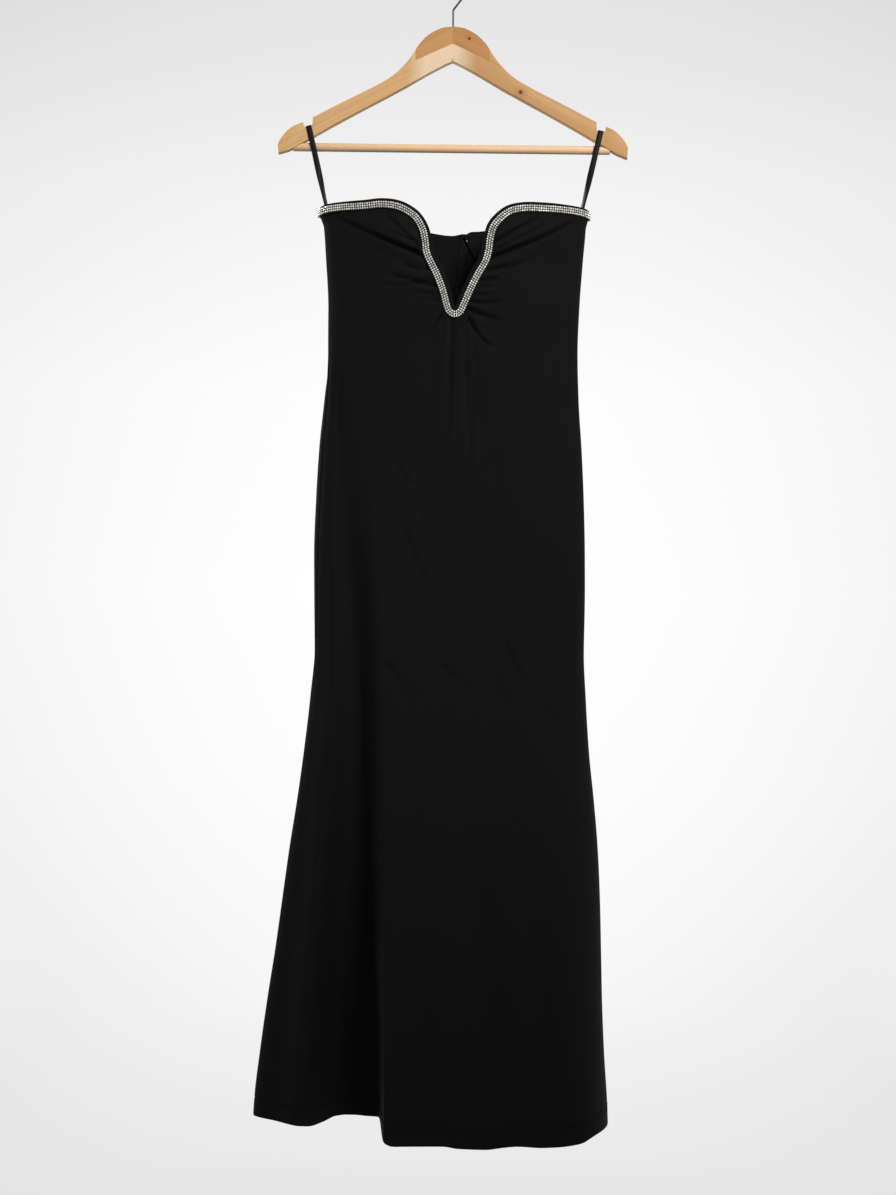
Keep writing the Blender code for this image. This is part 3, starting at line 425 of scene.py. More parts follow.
def readPanels():  # each panel as a fine grid of points, by height and share of its width
    levels = np.arange(cloth["top"], cloth["bottom"], -cloth["levelStep"])
    rings = [ring(z) for z in levels]
    maps = {}
    for name, samples in cloth["samples"].items():
        grid = np.zeros((len(levels), samples, 2))
        for row, here in enumerate(rings):
            start, end = here[name]
            runs = np.linspace(start, end, samples) % here["run"][-1]
            grid[row] = onLine(runs, here["run"], here["points"])
        maps[name] = grid
    widths = {name: np.array([here[name][1] - here[name][0] for here in rings]) for name in maps}
    return levels, maps, widths


levels, panelMaps, panelWidths = readPanels()
print("plan read at", len(levels), "heights")


def onPanel(name, share, z):
    grid = panelMaps[name]
    row = np.clip((levels[0] - z) / cloth["levelStep"], 0, len(levels) - 1.001)
    column = np.clip(share, 0.0, 1.0) * (grid.shape[1] - 1.001)
    r, c = row.astype(int), column.astype(int)
    down, across = (row - r)[..., None], (column - c)[..., None]
    upper = grid[r, c] * (1 - across) + grid[r, c + 1] * across
    lower = grid[r + 1, c] * (1 - across) + grid[r + 1, c + 1] * across
    return upper * (1 - down) + lower * down


def outward(name, share, z):
    reach = 0.004
    ahead = unit(onPanel(name, share + reach, z) - onPanel(name, share - reach, z))
    return np.stack([ahead[..., 1], -ahead[..., 0]], axis=-1)


def levelRow(z):
    return int(np.clip((levels[0] - z) / cloth["levelStep"], 0, len(levels) - 1))


def evenInBends(name, z, count, reach):  # shares of a panel's width, closer where its plan bends
    step = np.diff(panelMaps[name][levelRow(z)], axis=0)
    bends = bendsOf(step)
    weight = np.cumsum(np.linalg.norm(step, axis=1)[:1].repeat(len(bends)) + reach * bends)
    return spacedBy(weight, np.linspace(0, 1, len(weight)), count)


def flare(beside, z):  # the trimmed edge stands off the body at the side seams
    return (cloth["flare"] * (1 - ease(beside / cloth["flareWidth"]))
            * ease((z - cloth["flareFoot"]) / cloth["flareFade"]))


def seamDip(beside):  # how far the cloth sinks towards a seam
    return panelEdge["seamDip"] * (1 - ease(beside / panelEdge["seamDipWidth"]))


def hemPinch(aboveHem):  # how far the stitches draw the cloth in
    return panelEdge["hemPinch"] * np.exp(-((aboveHem - panelEdge["hemLine"]) / panelEdge["pinchWidth"]) ** 2)


def besideLine(xs, zs, x, z):  # distance from a line, share of its length there, and distance above it
    away = np.full(x.shape, 1e9)
    part, above = np.zeros(x.shape), np.zeros(x.shape)
    for place in range(len(xs) - 1):
        dx, dz = xs[place + 1] - xs[place], zs[place + 1] - zs[place]
        t = np.clip(((x - xs[place]) * dx + (z - zs[place]) * dz) / (dx**2 + dz**2), 0.0, 1.0)
        farX, farZ = x - (xs[place] + t * dx), z - (zs[place] + t * dz)
        far = np.hypot(farX, farZ)
        closer = far < away
        away = np.where(closer, far, away)
        part = np.where(closer, (place + t) / (len(xs) - 1), part)
        above = np.where(closer, np.sign((farZ * dx - farX * dz) * dx) * far, above)
    return away, part, above


def inReach(xs, zs, x, z, reach):
    return (x > xs.min() - reach) & (x < xs.max() + reach) & (z > zs.min() - reach) & (z < zs.max() + reach)


crease = {"knots": 13, "faint": 0.4, "startFade": 0.2, "endFade": 0.2}
fold = {
    "steps": 8, "margin": 6, "faint": 0.3, "startFade": 0.25, "brow": 4.0, "grooveBelow": 2.0,
    "grooveWidth": 4.5, "endReach": 2.2, "endFade": 1.2,
}


def relief(creases, x, z):  # how far the creases lift the cloth, deepest at their second end
    height = np.zeros_like(x)
    along = np.linspace(0.0, 1.0, crease["knots"])
    for x0, z0, x1, z1, bow, lift, spread in zip(*creases.values()):
        length = math.hypot(x1 - x0, z1 - z0)
        swing = bow * 4 * along * (1 - along)
        xs = x0 + (x1 - x0) * along - (z1 - z0) / length * swing
        zs = z0 + (z1 - z0) * along + (x1 - x0) / length * swing
        near = inReach(xs, zs, x, z, spread)
        away, part, _ = besideLine(xs, zs, x[near], z[near])
        deep = (crease["faint"] + (1 - crease["faint"]) * part) * ease(part / crease["startFade"])
        if zs[-1] < cloth["merge"] + 20:
            deep *= ease((1 - part) / crease["endFade"])
        height[near] += lift * deep * np.clip(1 - (away / spread) ** 2, 0, 1) ** 2
    return height


def foldRelief(folds, x, z):  # cloth that bulges over a sharp line and sinks just below it
    height = np.zeros_like(x)
    for x0, z0, x1, z1, x2, z2, lift, spread, groove in zip(*folds.values()):
        xs, zs = curveThrough([(x0, z0), (x1, z1), (x2, z2)], fold["steps"]).T
        near = inReach(xs, zs, x, z, spread + fold["margin"])
        away, part, above = besideLine(xs, zs, x[near], z[near])
        ends = ease(part / fold["startFade"]) * (fold["faint"] + (1 - fold["faint"]) * part)
        over = ease(above / fold["brow"] + 0.5) * ease(1 - np.clip(above, 0, None) / spread)
        under = -groove * np.clip(1 - ((above + fold["grooveBelow"]) / fold["grooveWidth"]) ** 2, 0, 1) ** 2
        ends *= ease(fold["endReach"] - away / spread * fold["endFade"])
        height[near] += (lift * over + under) * ends
    return height


# Front panel, gathered into the point of the V

frontPanel = {
    "columns": 172, "topRows": 106, "hipRows": 106, "hip": 450.0, "skirtRows": 34, "bendReach": 40.0,
    "collar": (0.0, 1.0, 2.0, 3.0, 4.8, 6.5, 8.2, 10.0, 12.0, 13.5), "seamRange": 8.0, "runWeight": 0.25,
    "gatherStart": 11.0, "gatherFade": 6.0, "fallStart": 0.33, "fallMost": 11.0, "fallEnd": 0.42,
    "flat": (0.66, 1.17),
}
# how much closer the columns lie beside the V, round the sides and in bends
neckSpacing = {"besideV": 0.8, "vTop": -320.0, "vFade": 20.0, "atSide": 1.2, "sideFade": 42.0, "bend": 14.0}

frontFolds = table(
    "x0 z0 x1 z1 x2 z2 lift spread groove",
    (-152, -317.5, -82, -352.5, -24, -376, 5.0, 34, 3.4),    # drag folds under the cups
    (162, -318.5, 106, -350.5, 42, -378, 5.0, 34, 3.4),
    (-82, -316, -60, -340, -34, -366, 1.8, 14, 1.3),     # second fold in each cup
    (112, -318, 78, -340, 46, -360, 2.4, 14, 2.2),
    (136, -316, 100, -340, 62, -362, 1.4, 10, 1.2),
    (-82, -393, -56, -401, -20, -409, 1.4, 12, 1.4),     # gathers beside the V
    (74, -388, 56, -399, 34, -402, 1.6, 12, 1.8),
    (70, -427, 48, -430, 22, -428, 1.4, 10, 1.6),
    (66, -452, 42, -445, 18, -437, 1.6, 12, 2.0),
    (-28, -473, -15, -451.5, 0, -436, 1.6, 10, 2.0),
    (-58, -384, -40, -388, -16, -389, 1.2, 8, 1.6),
    (-50, -418, -32, -419, -13, -417, 1.0, 7, 1.4),
    (58, -408, 46, -409, 30, -411, 1.1, 8, 1.5),
    (58, -418, 44, -420, 27, -419, 1.0, 7, 1.3),
    (60, -487, 42, -475, 20, -443, 1.4, 10, 2.2),
    (-88, -408, -60, -408, -18, -401, 1.0, 7, 1.3),
    (96, -376, 66, -385, 32, -391, 1.2, 8, 1.5),
    (-112, -330, -84, -341, -52, -352, 1.0, 10, 1.0),
)
frontCreases = table(
    "x0 z0 x1 z1 bow lift spread",
    (-122, -346, -62, -350, 0, 2.6, 34),      # cups
    (64, -350, 130, -348, 0, 2.6, 34),
    (-128, -342, -44, -388, -3, -1.2, 9),
    (150, -344, 62, -392, 3, -1.2, 9),
    (-100, -338, -60, -356, 2, 1.0, 6),
    (112, -338, 70, -358, 3, 1.0, 6),
    (-74, -396, -14, -410, -3, -1.6, 8),      # gathers beside the V
    (-66, -386, -12, -388, 2, -1.6, 7),
    (-70, -391, -16, -399, 0, 1.0, 5),
    (-56, -408, -10, -420, -2, 1.0, 5),
    (-48, -424, -6, -428, -3, -1.3, 5.5),
    (-36, -462, -10, -438, 2, 0.9, 5),
    (-11, -474, 0, -440, 0, -1.1, 5),
    (74, -382, 40, -398, 2, -1.8, 8),
    (80, -392, 38, -401, 1, 1.0, 5),
    (64, -404, 36, -406, -2, -1.5, 7),
    (72, -416, 30, -417, 1, 1.1, 6),
    (72, -428, 24, -428, 2, -1.8, 8),
    (66, -438, 24, -434, 2, 0.9, 5),
    (72, -451, 20, -440, 3, -1.8, 8),
    (52, -464, 14, -436, 3, 0.9, 5),
    (34, -660, 20, -436, 3, -1.8, 6.5),       # long folds below the V
    (17, -640, 13, -436, 0, 1.3, 6),
    (1, -620, 5, -436, 0, -1.9, 6),
    (-9, -560, -3, -436, -1, 1.1, 6),
    (52, -600, 30, -460, 4, -0.8, 7),
    (-78, -616, -42, -664, 0, -0.99, 5),        # fine creases over the hip
    (-72, -614, -36, -660, 0, 0.62, 5),
    (-10, -800, -58, -700, 4, -1.05, 5),
    (-3, -797, -50, -700, 4, 0.68, 5),
    (-20, -724, -38, -676, 2, -0.74, 5),
    (-38, -940, -80, -876, -4, -1.05, 5.5),
    (-31, -936, -73, -874, -4, 0.68, 5),
    (40, -912, -8, -880, 4, -0.87, 5.5),
    (38, -903, -4, -872, 4, 0.62, 5),
    (40, -810, 74, -788, 2, 0.74, 5.5),
    (44, -818, 78, -798, 2, -0.56, 5),
    (38, -823, -4, -820, 2, -0.74, 5.5),
    (34, -836, -10, -834, 2, 0.56, 5.5),
    (110, -912, 74, -848, 6, -0.99, 5.5),
    (117, -906, 81, -846, 6, 0.68, 5),
    (136, -896, 104, -860, 4, -0.81, 5.5),
    (94, -932, 76, -876, 2, 0.62, 5.5),
    (82, -936, 62, -894, 2, -0.62, 5.5),
    (164, -992, 122, -928, 0, -0.87, 7),
    (156, -944, 134, -906, 0, 0.56, 6),
    (70, -710, 60, -610, 0, -0.56, 10),
    (-139, -610, -134, -510, 0, -1.5, 9),      # top of the fold's shadow
    (-150, -830, -142, -640, 0, -1.6, 12),    # soft folds in the skirt
    (-150, -1190, -146, -980, 0, -2.4, 14),
    (70, -1440, 44, -1120, 0, -3.0, 30),
    (140, -1440, 120, -1180, 0, -2.4, 24),
    (10, -1460, 0, -1260, 0, 1.6, 26),
    (100, -1460, 92, -1240, 0, 1.6, 22),
)


def frontShareAt(x, z):
    here = ring(z)
    start, end = here["front"]
    return (np.interp(x, here["frontX"], here["frontRun"]) - start) / (end - start)


def neckLine():  # the neck edge on the flat cloth: distance from the left seam, and height
    knots = [(0.0, cloth["seamTop"])]
    knots += [(cloth["width"] * frontShareAt(x, z), z) for x, z in zip(neckPlan["x"], neckPlan["z"])]
    knots.append((cloth["width"], cloth["seamTop"]))
    return curveThrough(knots)


neck = neckLine()
neckRun = alongLine(neck)


def neckEdge(run, away):  # place on the flat cloth, a distance in from the neck edge
    run = np.asarray(run, dtype=float)
    reach = 2.0
    ahead = unit(onLine(run + reach, neckRun, neck) - onLine(run - reach, neckRun, neck))
    inward = np.stack([ahead[..., 1], -ahead[..., 0]], axis=-1)
    square = ease(np.minimum(run, neckRun[-1] - run) / 3.0)[..., None]
    inward = inward * square + np.array([0.0, -1.0]) * (1 - square)
    return onLine(run, neckRun, neck) + inward * np.asarray(away)[..., None]


def raised(panel, share, z, lift):  # places on a panel's face, moved out by the lift
    point = onPanel(panel, share, z) + outward(panel, share, z) * lift[..., None]
    return np.concatenate([point, z[..., None]], axis=-1)


def frontSurface(flatX, z, keep):
    share = flatX / cloth["width"]
    x = onPanel("front", share, z)[..., 0]
    lift = relief(frontCreases, x, z) + foldRelief(frontFolds, x, z)
    high = z > cloth["merge"]
    gap = np.full(z.shape, 1e3)
    fromNeck = np.hypot(neck[None, :, 0] - flatX[high][:, None], neck[None, :, 1] - z[high][:, None])
    gap[high] = np.min(fromNeck, axis=1)
    lift *= ease((gap - frontPanel["gatherStart"]) / frontPanel["gatherFade"])
    beside = np.minimum(flatX, cloth["width"] - flatX)
    lift *= ease(beside / cloth["reliefFade"])
    keep.append(lift.copy())
    return raised("front", share, z, lift - seamDip(beside) + flare(beside, z))


def neckRuns(count):  # columns along the neck, closer beside the V and round the sides
    besideV = neckSpacing["besideV"] * ease((neckSpacing["vTop"] - neck[:, 1]) / neckSpacing["vFade"])
    fromSide = np.minimum(neckRun, neckRun[-1] - neckRun)
    roundSide = neckSpacing["atSide"] * (1 - ease(fromSide / neckSpacing["sideFade"]))
    bends = neckSpacing["bend"] * bendsOf(np.diff(neck, axis=0))
    inner = spacedBy(np.cumsum(np.gradient(neckRun) * (1 + besideV + roundSide) + bends), neckRun, count)
    seam = np.array(panelEdge["seamSteps"])
    inner = inner[(inner > seam[-1] + 1.0) & (inner < neckRun[-1] - seam[-1] - 1.0)]
    return np.concatenate([seam, inner, neckRun[-1] - seam[::-1]])


def makeFront():
    runs = neckRuns(frontPanel["columns"])
    collar = np.array(frontPanel["collar"])
    top = neckEdge(runs[None, :].repeat(len(collar), 0), collar[:, None].repeat(len(runs), 1))
    edgeStep = np.minimum(runs, neckRun[-1] - runs)
    spread = np.abs(np.diff(top[-1][:, 0])) + frontPanel["runWeight"] * np.diff(runs)
    spread = np.concatenate([[0.0], np.cumsum(spread)])
    mergeX = cloth["width"] * spread / spread[-1]
    seamX = np.where(runs < neckRun[-1] / 2, edgeStep, cloth["width"] - edgeStep)
    nearSeam = 1 - ease(edgeStep / frontPanel["seamRange"])
    mergeX = mergeX * (1 - nearSeam) + seamX * nearSeam
    foot = np.column_stack([mergeX, np.full(len(runs), cloth["merge"])])
    last = top[-1]
    drop = np.linalg.norm(foot - last, axis=1)[:, None]
    inward = unit(top[-1] - top[-2])
    first = last + inward * np.minimum(frontPanel["fallStart"] * drop, frontPanel["fallMost"])
    third = foot + np.array([0.0, 1.0]) * frontPanel["fallEnd"] * drop
    t = (np.arange(1, frontPanel["topRows"] + 1) / frontPanel["topRows"])[:, None, None]
    fall = (1 - t)**3 * last + 3 * (1 - t)**2 * t * first + 3 * (1 - t) * t**2 * third + t**3 * foot
    upper = np.concatenate([top, fall])
    lifts = []
    upperPoints = frontSurface(upper[..., 0], upper[..., 1], lifts)

    shares = mergeX / cloth["width"]
    atSeam = len(panelEdge["seamSteps"]) - 1
    startShare = shares[atSeam]
    rows = []
    length = cloth["merge"] - cloth["hemZ"]
    hipShare, hemShare = frontPanel["hip"] / length, 1 - panelEdge["hemDepth"] / length
    hip, skirt, low = [np.arange(1, rows + 1) / rows
                       for rows in (frontPanel["hipRows"], frontPanel["skirtRows"], panelEdge["hemRows"])]
    rowShares = np.concatenate([hip * hipShare, hipShare + skirt * (hemShare - hipShare),
                                hemShare + low * (1 - hemShare)])
    for part in rowShares:
        guess = cloth["merge"] + (cloth["hemZ"] - cloth["merge"]) * part
        inner = evenInBends("front", guess, len(shares) - 2 * atSeam, frontPanel["bendReach"])
        inner = startShare + inner * (1 - 2 * startShare)
        even = np.concatenate([shares[:atSeam], inner, shares[-atSeam:]])
        settled = shares + ease((cloth["merge"] - guess) / cloth["settle"]) * (even - shares)
        hemX = onPanel("front", settled, np.full(len(settled), cloth["hemZ"]))[:, 0]
        hem = smooth(frontHem["x"], frontHem["z"], hemX)
        z = cloth["merge"] + (hem - cloth["merge"]) * part
        rows.append(np.column_stack([settled * cloth["width"], z, hem]))
    lower = np.array(rows)
    lowerPoints = frontSurface(lower[..., 0], lower[..., 1], lifts)
    aboveHem = lower[..., 1] - lower[..., 2]
    direction = outward("front", lower[..., 0] / cloth["width"], lower[..., 1])
    lowerPoints[..., :2] -= direction * hemPinch(aboveHem)[..., None]

    points = np.concatenate([upperPoints, lowerPoints])
    flat = np.concatenate([upper, lower[..., :2]])
    made = clothSheet("front_cloth", points, flat * mm, creaseShade(points, np.concatenate(lifts)))
    return made, stitchLines(lowerPoints, aboveHem, direction), measured(made, points)


def measured(made, points):  # area of the sheet's outer face, in square metres
    across = np.cross(points[1:, :-1] - points[:-1, :-1], points[:-1, 1:] - points[:-1, :-1])
    area = np.linalg.norm(across, axis=-1).sum() * mm * mm
    print(made.name, len(made.data.polygons), "faces,", round(area, 3), "square metres, hem",
          round(alongLine(points[-1]).max() * mm, 3), "m")
    return area


def stitchLines(points, aboveHem, direction):  # where the hem's stitches run, and which way is out
    rows = []
    for height in hemSeam["rows"]:
        line, out = [], []
        for column in range(points.shape[1]):
            below = aboveHem[::-1, column]
            line.append(onLine(height, below, points[::-1, column]))
            out.append(np.append(onLine(height, below, direction[::-1, column]), 0.0))
        rows.append((np.array(line), np.array(out)))
    return rows


hemSeam = {
    "rows": (19.0, 23.5), "step": 3.4, "length": 1.62, "radius": 0.26, "sides": 6, "margin": 3.0,
    "proud": 0.12, "drawnIn": 0.54,
}
frontCloth, frontStitches, frontArea = makeFront()


# Back panels, on either side of the centre back zip

backPanel = {
    "columns": 58, "rows": 190, "bendReach": 20.0, "edgeZ": -327.0, "length": 1150.0, "stitchRows": 60,
    "flat": {"left": (0.294, 1.16), "right": (0.293, 1.16)},
}

backCreases = table(
    "x0 z0 x1 z1 bow lift spread",
    (-60, -380, -146, -350, 4, -2.2, 10),      # drag folds down from the side seams
    (-70, -366, -146, -336, 4, 1.8, 11),
    (70, -384, 156, -350, -4, -2.2, 10),
    (80, -368, 156, -338, -4, 1.8, 11),
    (-40, -440, -120, -412, 3, -1.4, 9),
    (60, -452, 132, -420, -3, -1.4, 9),
    (-20, -560, -14, -470, 2, -1.6, 9),        # ripple beside the zip
    (40, -590, 30, -480, -2, -1.6, 10),
    (-70, -640, -50, -560, 4, -1.4, 11),
    (70, -700, 96, -600, -5, -1.6, 12),
    (-10, -760, -8, -640, 0, -1.4, 10),        # end of the zip
    (-110, -1180, -104, -900, 0, -2.0, 16),
    (60, -1240, 50, -940, 0, -2.0, 18),
)


def backSurface(side, share, z, keep):
    width = np.interp(-z, -levels, panelWidths[side])
    beside = np.minimum(share, 1 - share) * width
    lift = relief(backCreases, onPanel(side, share, z)[..., 0], z) * ease(beside / cloth["reliefFade"])
    keep.append(lift.copy())
    fromSide = (share if side == "right" else 1 - share) * width
    return raised(side, share, z, lift - seamDip(beside) + flare(fromSide, z))


def makeBack(side):
    shares = evenInBends(side, cloth["hemZ"], backPanel["columns"], backPanel["bendReach"])
    hemShare = panelEdge["hemDepth"] / backPanel["length"]
    inHem = np.arange(1, panelEdge["hemRows"] + 1) / panelEdge["hemRows"]
    parts = np.linspace(0, 1, backPanel["rows"]) * (1 - hemShare)
    parts = np.concatenate([parts, 1 - hemShare * (1 - inHem)])
    edgeX = onPanel(side, shares, np.full(len(shares), backPanel["edgeZ"]))[:, 0]
    hemX = onPanel(side, shares, np.full(len(shares), cloth["hemZ"]))[:, 0]
    edge = smooth(backEdge["x"], backEdge["z"], edgeX)
    hem = smooth(backHem["x"], backHem["z"], hemX)
    z = edge + (hem - edge) * parts[:, None]
    width = np.interp(-z, -levels, panelWidths[side])
    share = np.broadcast_to(shares, z.shape).copy()
    for place, step in enumerate(panelEdge["seamSteps"]):
        share[:, place] = step / width[:, place]
        share[:, -1 - place] = 1 - step / width[:, -1 - place]
    lifts = []
    points = backSurface(side, share, z, lifts)
    aboveHem = z - hem
    direction = outward(side, share, z)
    points[..., :2] -= direction * hemPinch(aboveHem)[..., None]
    uv = np.stack([share * width, z], axis=-1) * mm
    made = clothSheet("back_cloth_" + side, points, uv, creaseShade(points, lifts[0]))
    low = slice(-backPanel["stitchRows"], None)
    return made, points[0], stitchLines(points[low], aboveHem[low], direction[low]), measured(made, points)


backCloths = {side: makeBack(side) for side in ("left", "right")}


# Seam allowances inside the side seams and the centre back seam, below the zip

seamStrips = {
    "depth": 0.35, "thick": 0.5, "foot": -1454.0, "rows": 110, "steps": (6.0, 3.0, 1.5, 0.2),
    "runs": (("seam_left", -318.0, "left", "front"), ("seam_right", -318.0, "front", "right"),
             ("seam_back", -644.0, "right", "left")),
}


def seamStrip(name, top, before, after):  # joins the end of one panel to the start of the next
    heights = np.linspace(top, seamStrips["foot"], seamStrips["rows"])
    columns = []
    for panel, steps in ((before, seamStrips["steps"]), (after, seamStrips["steps"][::-1])):
        width = cloth["width"] if panel == "front" else np.interp(-heights, -levels, panelWidths[panel])
        for away in steps:
            share = np.broadcast_to(away / width if panel == after else 1 - away / width, heights.shape)
            lift = np.full(heights.shape, -cloth["thick"] - seamStrips["depth"] - seamDip(away))
            if name != "seam_back":
                lift += flare(away, heights)
            columns.append(raised(panel, share, heights, lift))
    points = np.array(columns).transpose(1, 0, 2)
    made = meshObject(name, points.reshape(-1, 3), gridFaces(*points.shape[:2]))
    applyModifier(made, "SOLIDIFY", thickness=seamStrips["thick"] * mm, offset=-1.0)
    return made


strips = [seamStrip(*run) for run in seamStrips["runs"]]
print("seam allowances made")


# Hem stitches, modelled once and copied along both rows

def addStitch():  # a short six-sided bead, each face drawn in through the middle
    bpy.ops.mesh.primitive_cylinder_add(vertices=hemSeam["sides"], radius=hemSeam["radius"],
                                        depth=hemSeam["length"], rotation=(0, math.pi / 2, 0))
    stitch = bpy.context.object
    bpy.ops.object.transform_apply(location=False, rotation=True, scale=False)
    bpy.ops.object.mode_set(mode="EDIT")
    bpy.ops.mesh.select_mode(type="FACE")
    bpy.ops.mesh.extrude_faces_move(TRANSFORM_OT_shrink_fatten={"value": -hemSeam["drawnIn"]})
    bpy.ops.object.mode_set(mode="OBJECT")
    return stitch


def spreadCopies(name, model, places, frames, turns=None, sizes=None):  # one mesh, a copy at each place
    turns = np.zeros(len(places)) if turns is None else turns
    sizes = np.ones(len(places)) if sizes is None else sizes
    base = np.array([model.matrix_world @ vertex.co for vertex in model.data.vertices])
    polygons = [tuple(face.vertices) for face in model.data.polygons]
    points, faces = [], []
    for place, axes, turn, size in zip(places, frames, turns, sizes):
        c, s = math.cos(turn), math.sin(turn)
        x, y, z = base.T
        local = np.column_stack([x * c - y * s, x * s + y * c, z])
        first = len(points)
        points.extend(place + (local * size) @ axes)
        faces.extend(tuple(first + corner for corner in face) for face in polygons)
    bpy.data.objects.remove(model)
    made = meshObject(name, points, faces)
    made.data.shade_flat()
    tone = made.data.attributes.new("tone", "FLOAT", "POINT")
    tone.data.foreach_set("value", np.repeat(rng.random(len(places)), len(base)).astype(np.float32))
    return made


def makeHemStitches():
    places, frames = [], []
    for rows in [frontStitches] + [made[2] for made in backCloths.values()]:
        for line, out in rows:
            run = alongLine(line)
            length = run[-1] - 2 * hemSeam["margin"]
            count = int(length / hemSeam["step"])
            at = hemSeam["margin"] + (np.arange(count) + 0.5) * length / count
            spot = onLine(at, run, line)
            ahead = unit(onLine(at + 0.6, run, line) - spot)
            up = unit(np.cross(onLine(at, run, out), ahead))
            away = np.cross(ahead, up)
            places.append(spot + away * hemSeam["proud"])
            frames.append(np.stack([ahead, up, away], axis=1))
    places, frames = np.concatenate(places), np.concatenate(frames)
    made = spreadCopies("hem_stitches", addStitch(), places, frames)
    print("hem:", len(places), "stitches")
    return made


hemStitches = makeHemStitches()


# Jersey: a fine knit that reads the cloth's own flat map

def jerseyFinish():
    made = Finish("jersey", seen(18, 18, 18), roughness=0.78, sheen=0.008, sheenRoughness=0.35, specular=0.04)
    flat = made.place("UV")
    across, along, _ = made.axes(flat)
    wales = (across * (2 * math.pi / 0.0009)).sine()
    courses = (along * (2 * math.pi / 0.0007) + wales * 1.2).sine()
    knit = wales * 0.6 + courses * 0.4
    patch = made.noise(flat, 22.0, 3.0)
    fuzz = made.noise(flat, 2600.0, 2.0)
    cloths = made.mix(patch * 0.5 + fuzz * 0.4, seen(16, 16, 16.4), seen(23, 23, 23.4))
    # Painted shade: the colour goes towards near black in the creases, by the crease measure stored on the cloth.
    hollow = made.add("Attribute", {"attribute_name": "hollow"}, None, 2)
    made.set("colour", made.mix(hollow * 0.85, cloths, seen(3, 3, 3.2)))
    made.set("roughness", 0.74 + patch * 0.16)
    made.bump(knit * 0.5 + fuzz * 0.5, 0.35, 0.00025)
    return made


jersey = jerseyFinish()
jersey.paint(frontCloth, *[made[0] for made in backCloths.values()])
thread = mottled("thread", (13, 13, 13), 3000.0, (8, 8, 8), (17, 17, 18), roughness=0.7, specular=0.05)
thread.paint(hemStitches)
overlock = mottled("overlock", (15, 15, 15), 1500.0, (9, 9, 9), (21, 21, 21), roughness=0.9, specular=0.05)
overlock.paint(*strips)


def trimPoint(run, away, rise):  # beside the neck edge, a distance in from it and a height over the cloth
    flat = neckEdge(run, away)
    x, z = flat[..., 0], flat[..., 1]
    return raised("front", x / cloth["width"], z, rise + flare(np.minimum(x, cloth["width"] - x), z))


# Rolled edges: the neck is bound by a soft roll, flat where it shows widest inside the V

roll = {
    "slim": 3.2, "wide": 5.0, "bulge": 1.5, "under": 0.5, "radius": 1.25, "inset": 1.3,
    "columns": 520, "sides": 14, "vTop": -352.0, "vFade": 30.0, "tipWidth": 7.0, "tipNarrow": 0.35,
    "sideNarrow": 0.8, "sideReach": 30.0, "sideFade": 40.0, "lap": 0.9, "over": 0.3, "backLap": 0.1, "backSides": 12,
}


def rollWidth(run):
    z = np.interp(run, neckRun, neck[:, 1])
    beside = np.minimum(run, neckRun[-1] - run)
    inV = ease((roll["vTop"] - z) / roll["vFade"])
    atTip = np.exp(-((run - neckRun[np.argmin(neck[:, 1])]) / roll["tipWidth"]) ** 2)
    narrow = roll["sideNarrow"] * (1 - ease((beside - roll["sideReach"]) / roll["sideFade"]))
    return roll["slim"] - narrow + (roll["wide"] - roll["slim"]) * inV * (1 - roll["tipNarrow"] * atTip)


def makeRolls():
    runs = np.linspace(1.0, neckRun[-1] - 1.0, roll["columns"])
    width = rollWidth(runs) + roll["lap"]
    count = roll["sides"]
    rows = []
    for turn in np.linspace(0, 2 * math.pi, count, endpoint=False):
        away = width * (0.5 - 0.5 * math.cos(turn))
        lift = math.sin(turn)
        rise = lift * (roll["bulge"] if lift > 0 else cloth["thick"] + roll["under"])
        rows.append(trimPoint(runs, away - roll["over"], np.full(len(runs), rise)))
    points = np.array(rows).transpose(1, 0, 2)
    faces = capped(gridFaces(len(runs), count, around=True), count, len(runs) * count)
    uv = [(run * mm, turn / count * 0.012) for run in runs for turn in range(count)]
    pieces = [meshObject("neck_roll", points.reshape(-1, 3), faces, uv)]
    for side, (_, topLine, _, _) in backCloths.items():
        line = topLine.copy()
        line[:, 2] -= roll["inset"]
        share = np.linspace(0, 1, len(line))
        line[:, :2] -= outward(side, share, line[:, 2]) * (cloth["thick"] / 2 - roll["backLap"])
        line = curveThrough(line[1:-1], 3)
        pieces.append(tube("back_roll_" + side, line, roll["radius"], roll["backSides"]))
    return pieces


rolls = makeRolls()
jersey.paint(*rolls)
print("rolled edges made")


# Stone trim: a black tape with three rows of round stones in their cups

trim = {
    "width": 8.8, "tape": 1.7, "rows": (1.5, 4.4, 7.3), "pitch": 3.0, "stone": 1.22, "girdle": 0.9,
    "crown": 1.7, "step": 0.55, "stepWidth": 0.82, "flatTop": 0.7, "cup": 1.34, "cupHeight": 1.1,
    "cupRim": 0.14, "cupDeep": 0.35, "sides": 8, "columns": 420, "turn": math.pi / 4, "sizes": (0.97, 1.03),
    "stoneLift": 0.35, "cupSunk": 0.2,
    "tapeAcross": (0.0, 0.0, 0.06, 0.2, 0.5, 0.8, 0.94, 1.0, 1.0, 0.5),
    "tapeRise": (0.2, 0.6, 1.0, 1.2, 1.3, 1.2, 1.0, 0.6, 0.2, 0.15),
}


def makeTrimTape():
    runs = np.linspace(0.6, neckRun[-1] - 0.6, trim["columns"])
    rises = np.array(trim["tapeRise"]) * trim["tape"] / max(trim["tapeRise"])
    rows = [trimPoint(runs, rollWidth(runs) + part * trim["width"], np.full(len(runs), rise))
            for part, rise in zip(trim["tapeAcross"], rises)]
    points = np.array(rows).transpose(1, 0, 2).reshape(-1, 3)
    count = len(rows)
    faces = capped(gridFaces(len(runs), count, around=True), count, len(points))
    return meshObject("trim_tape", points, faces)


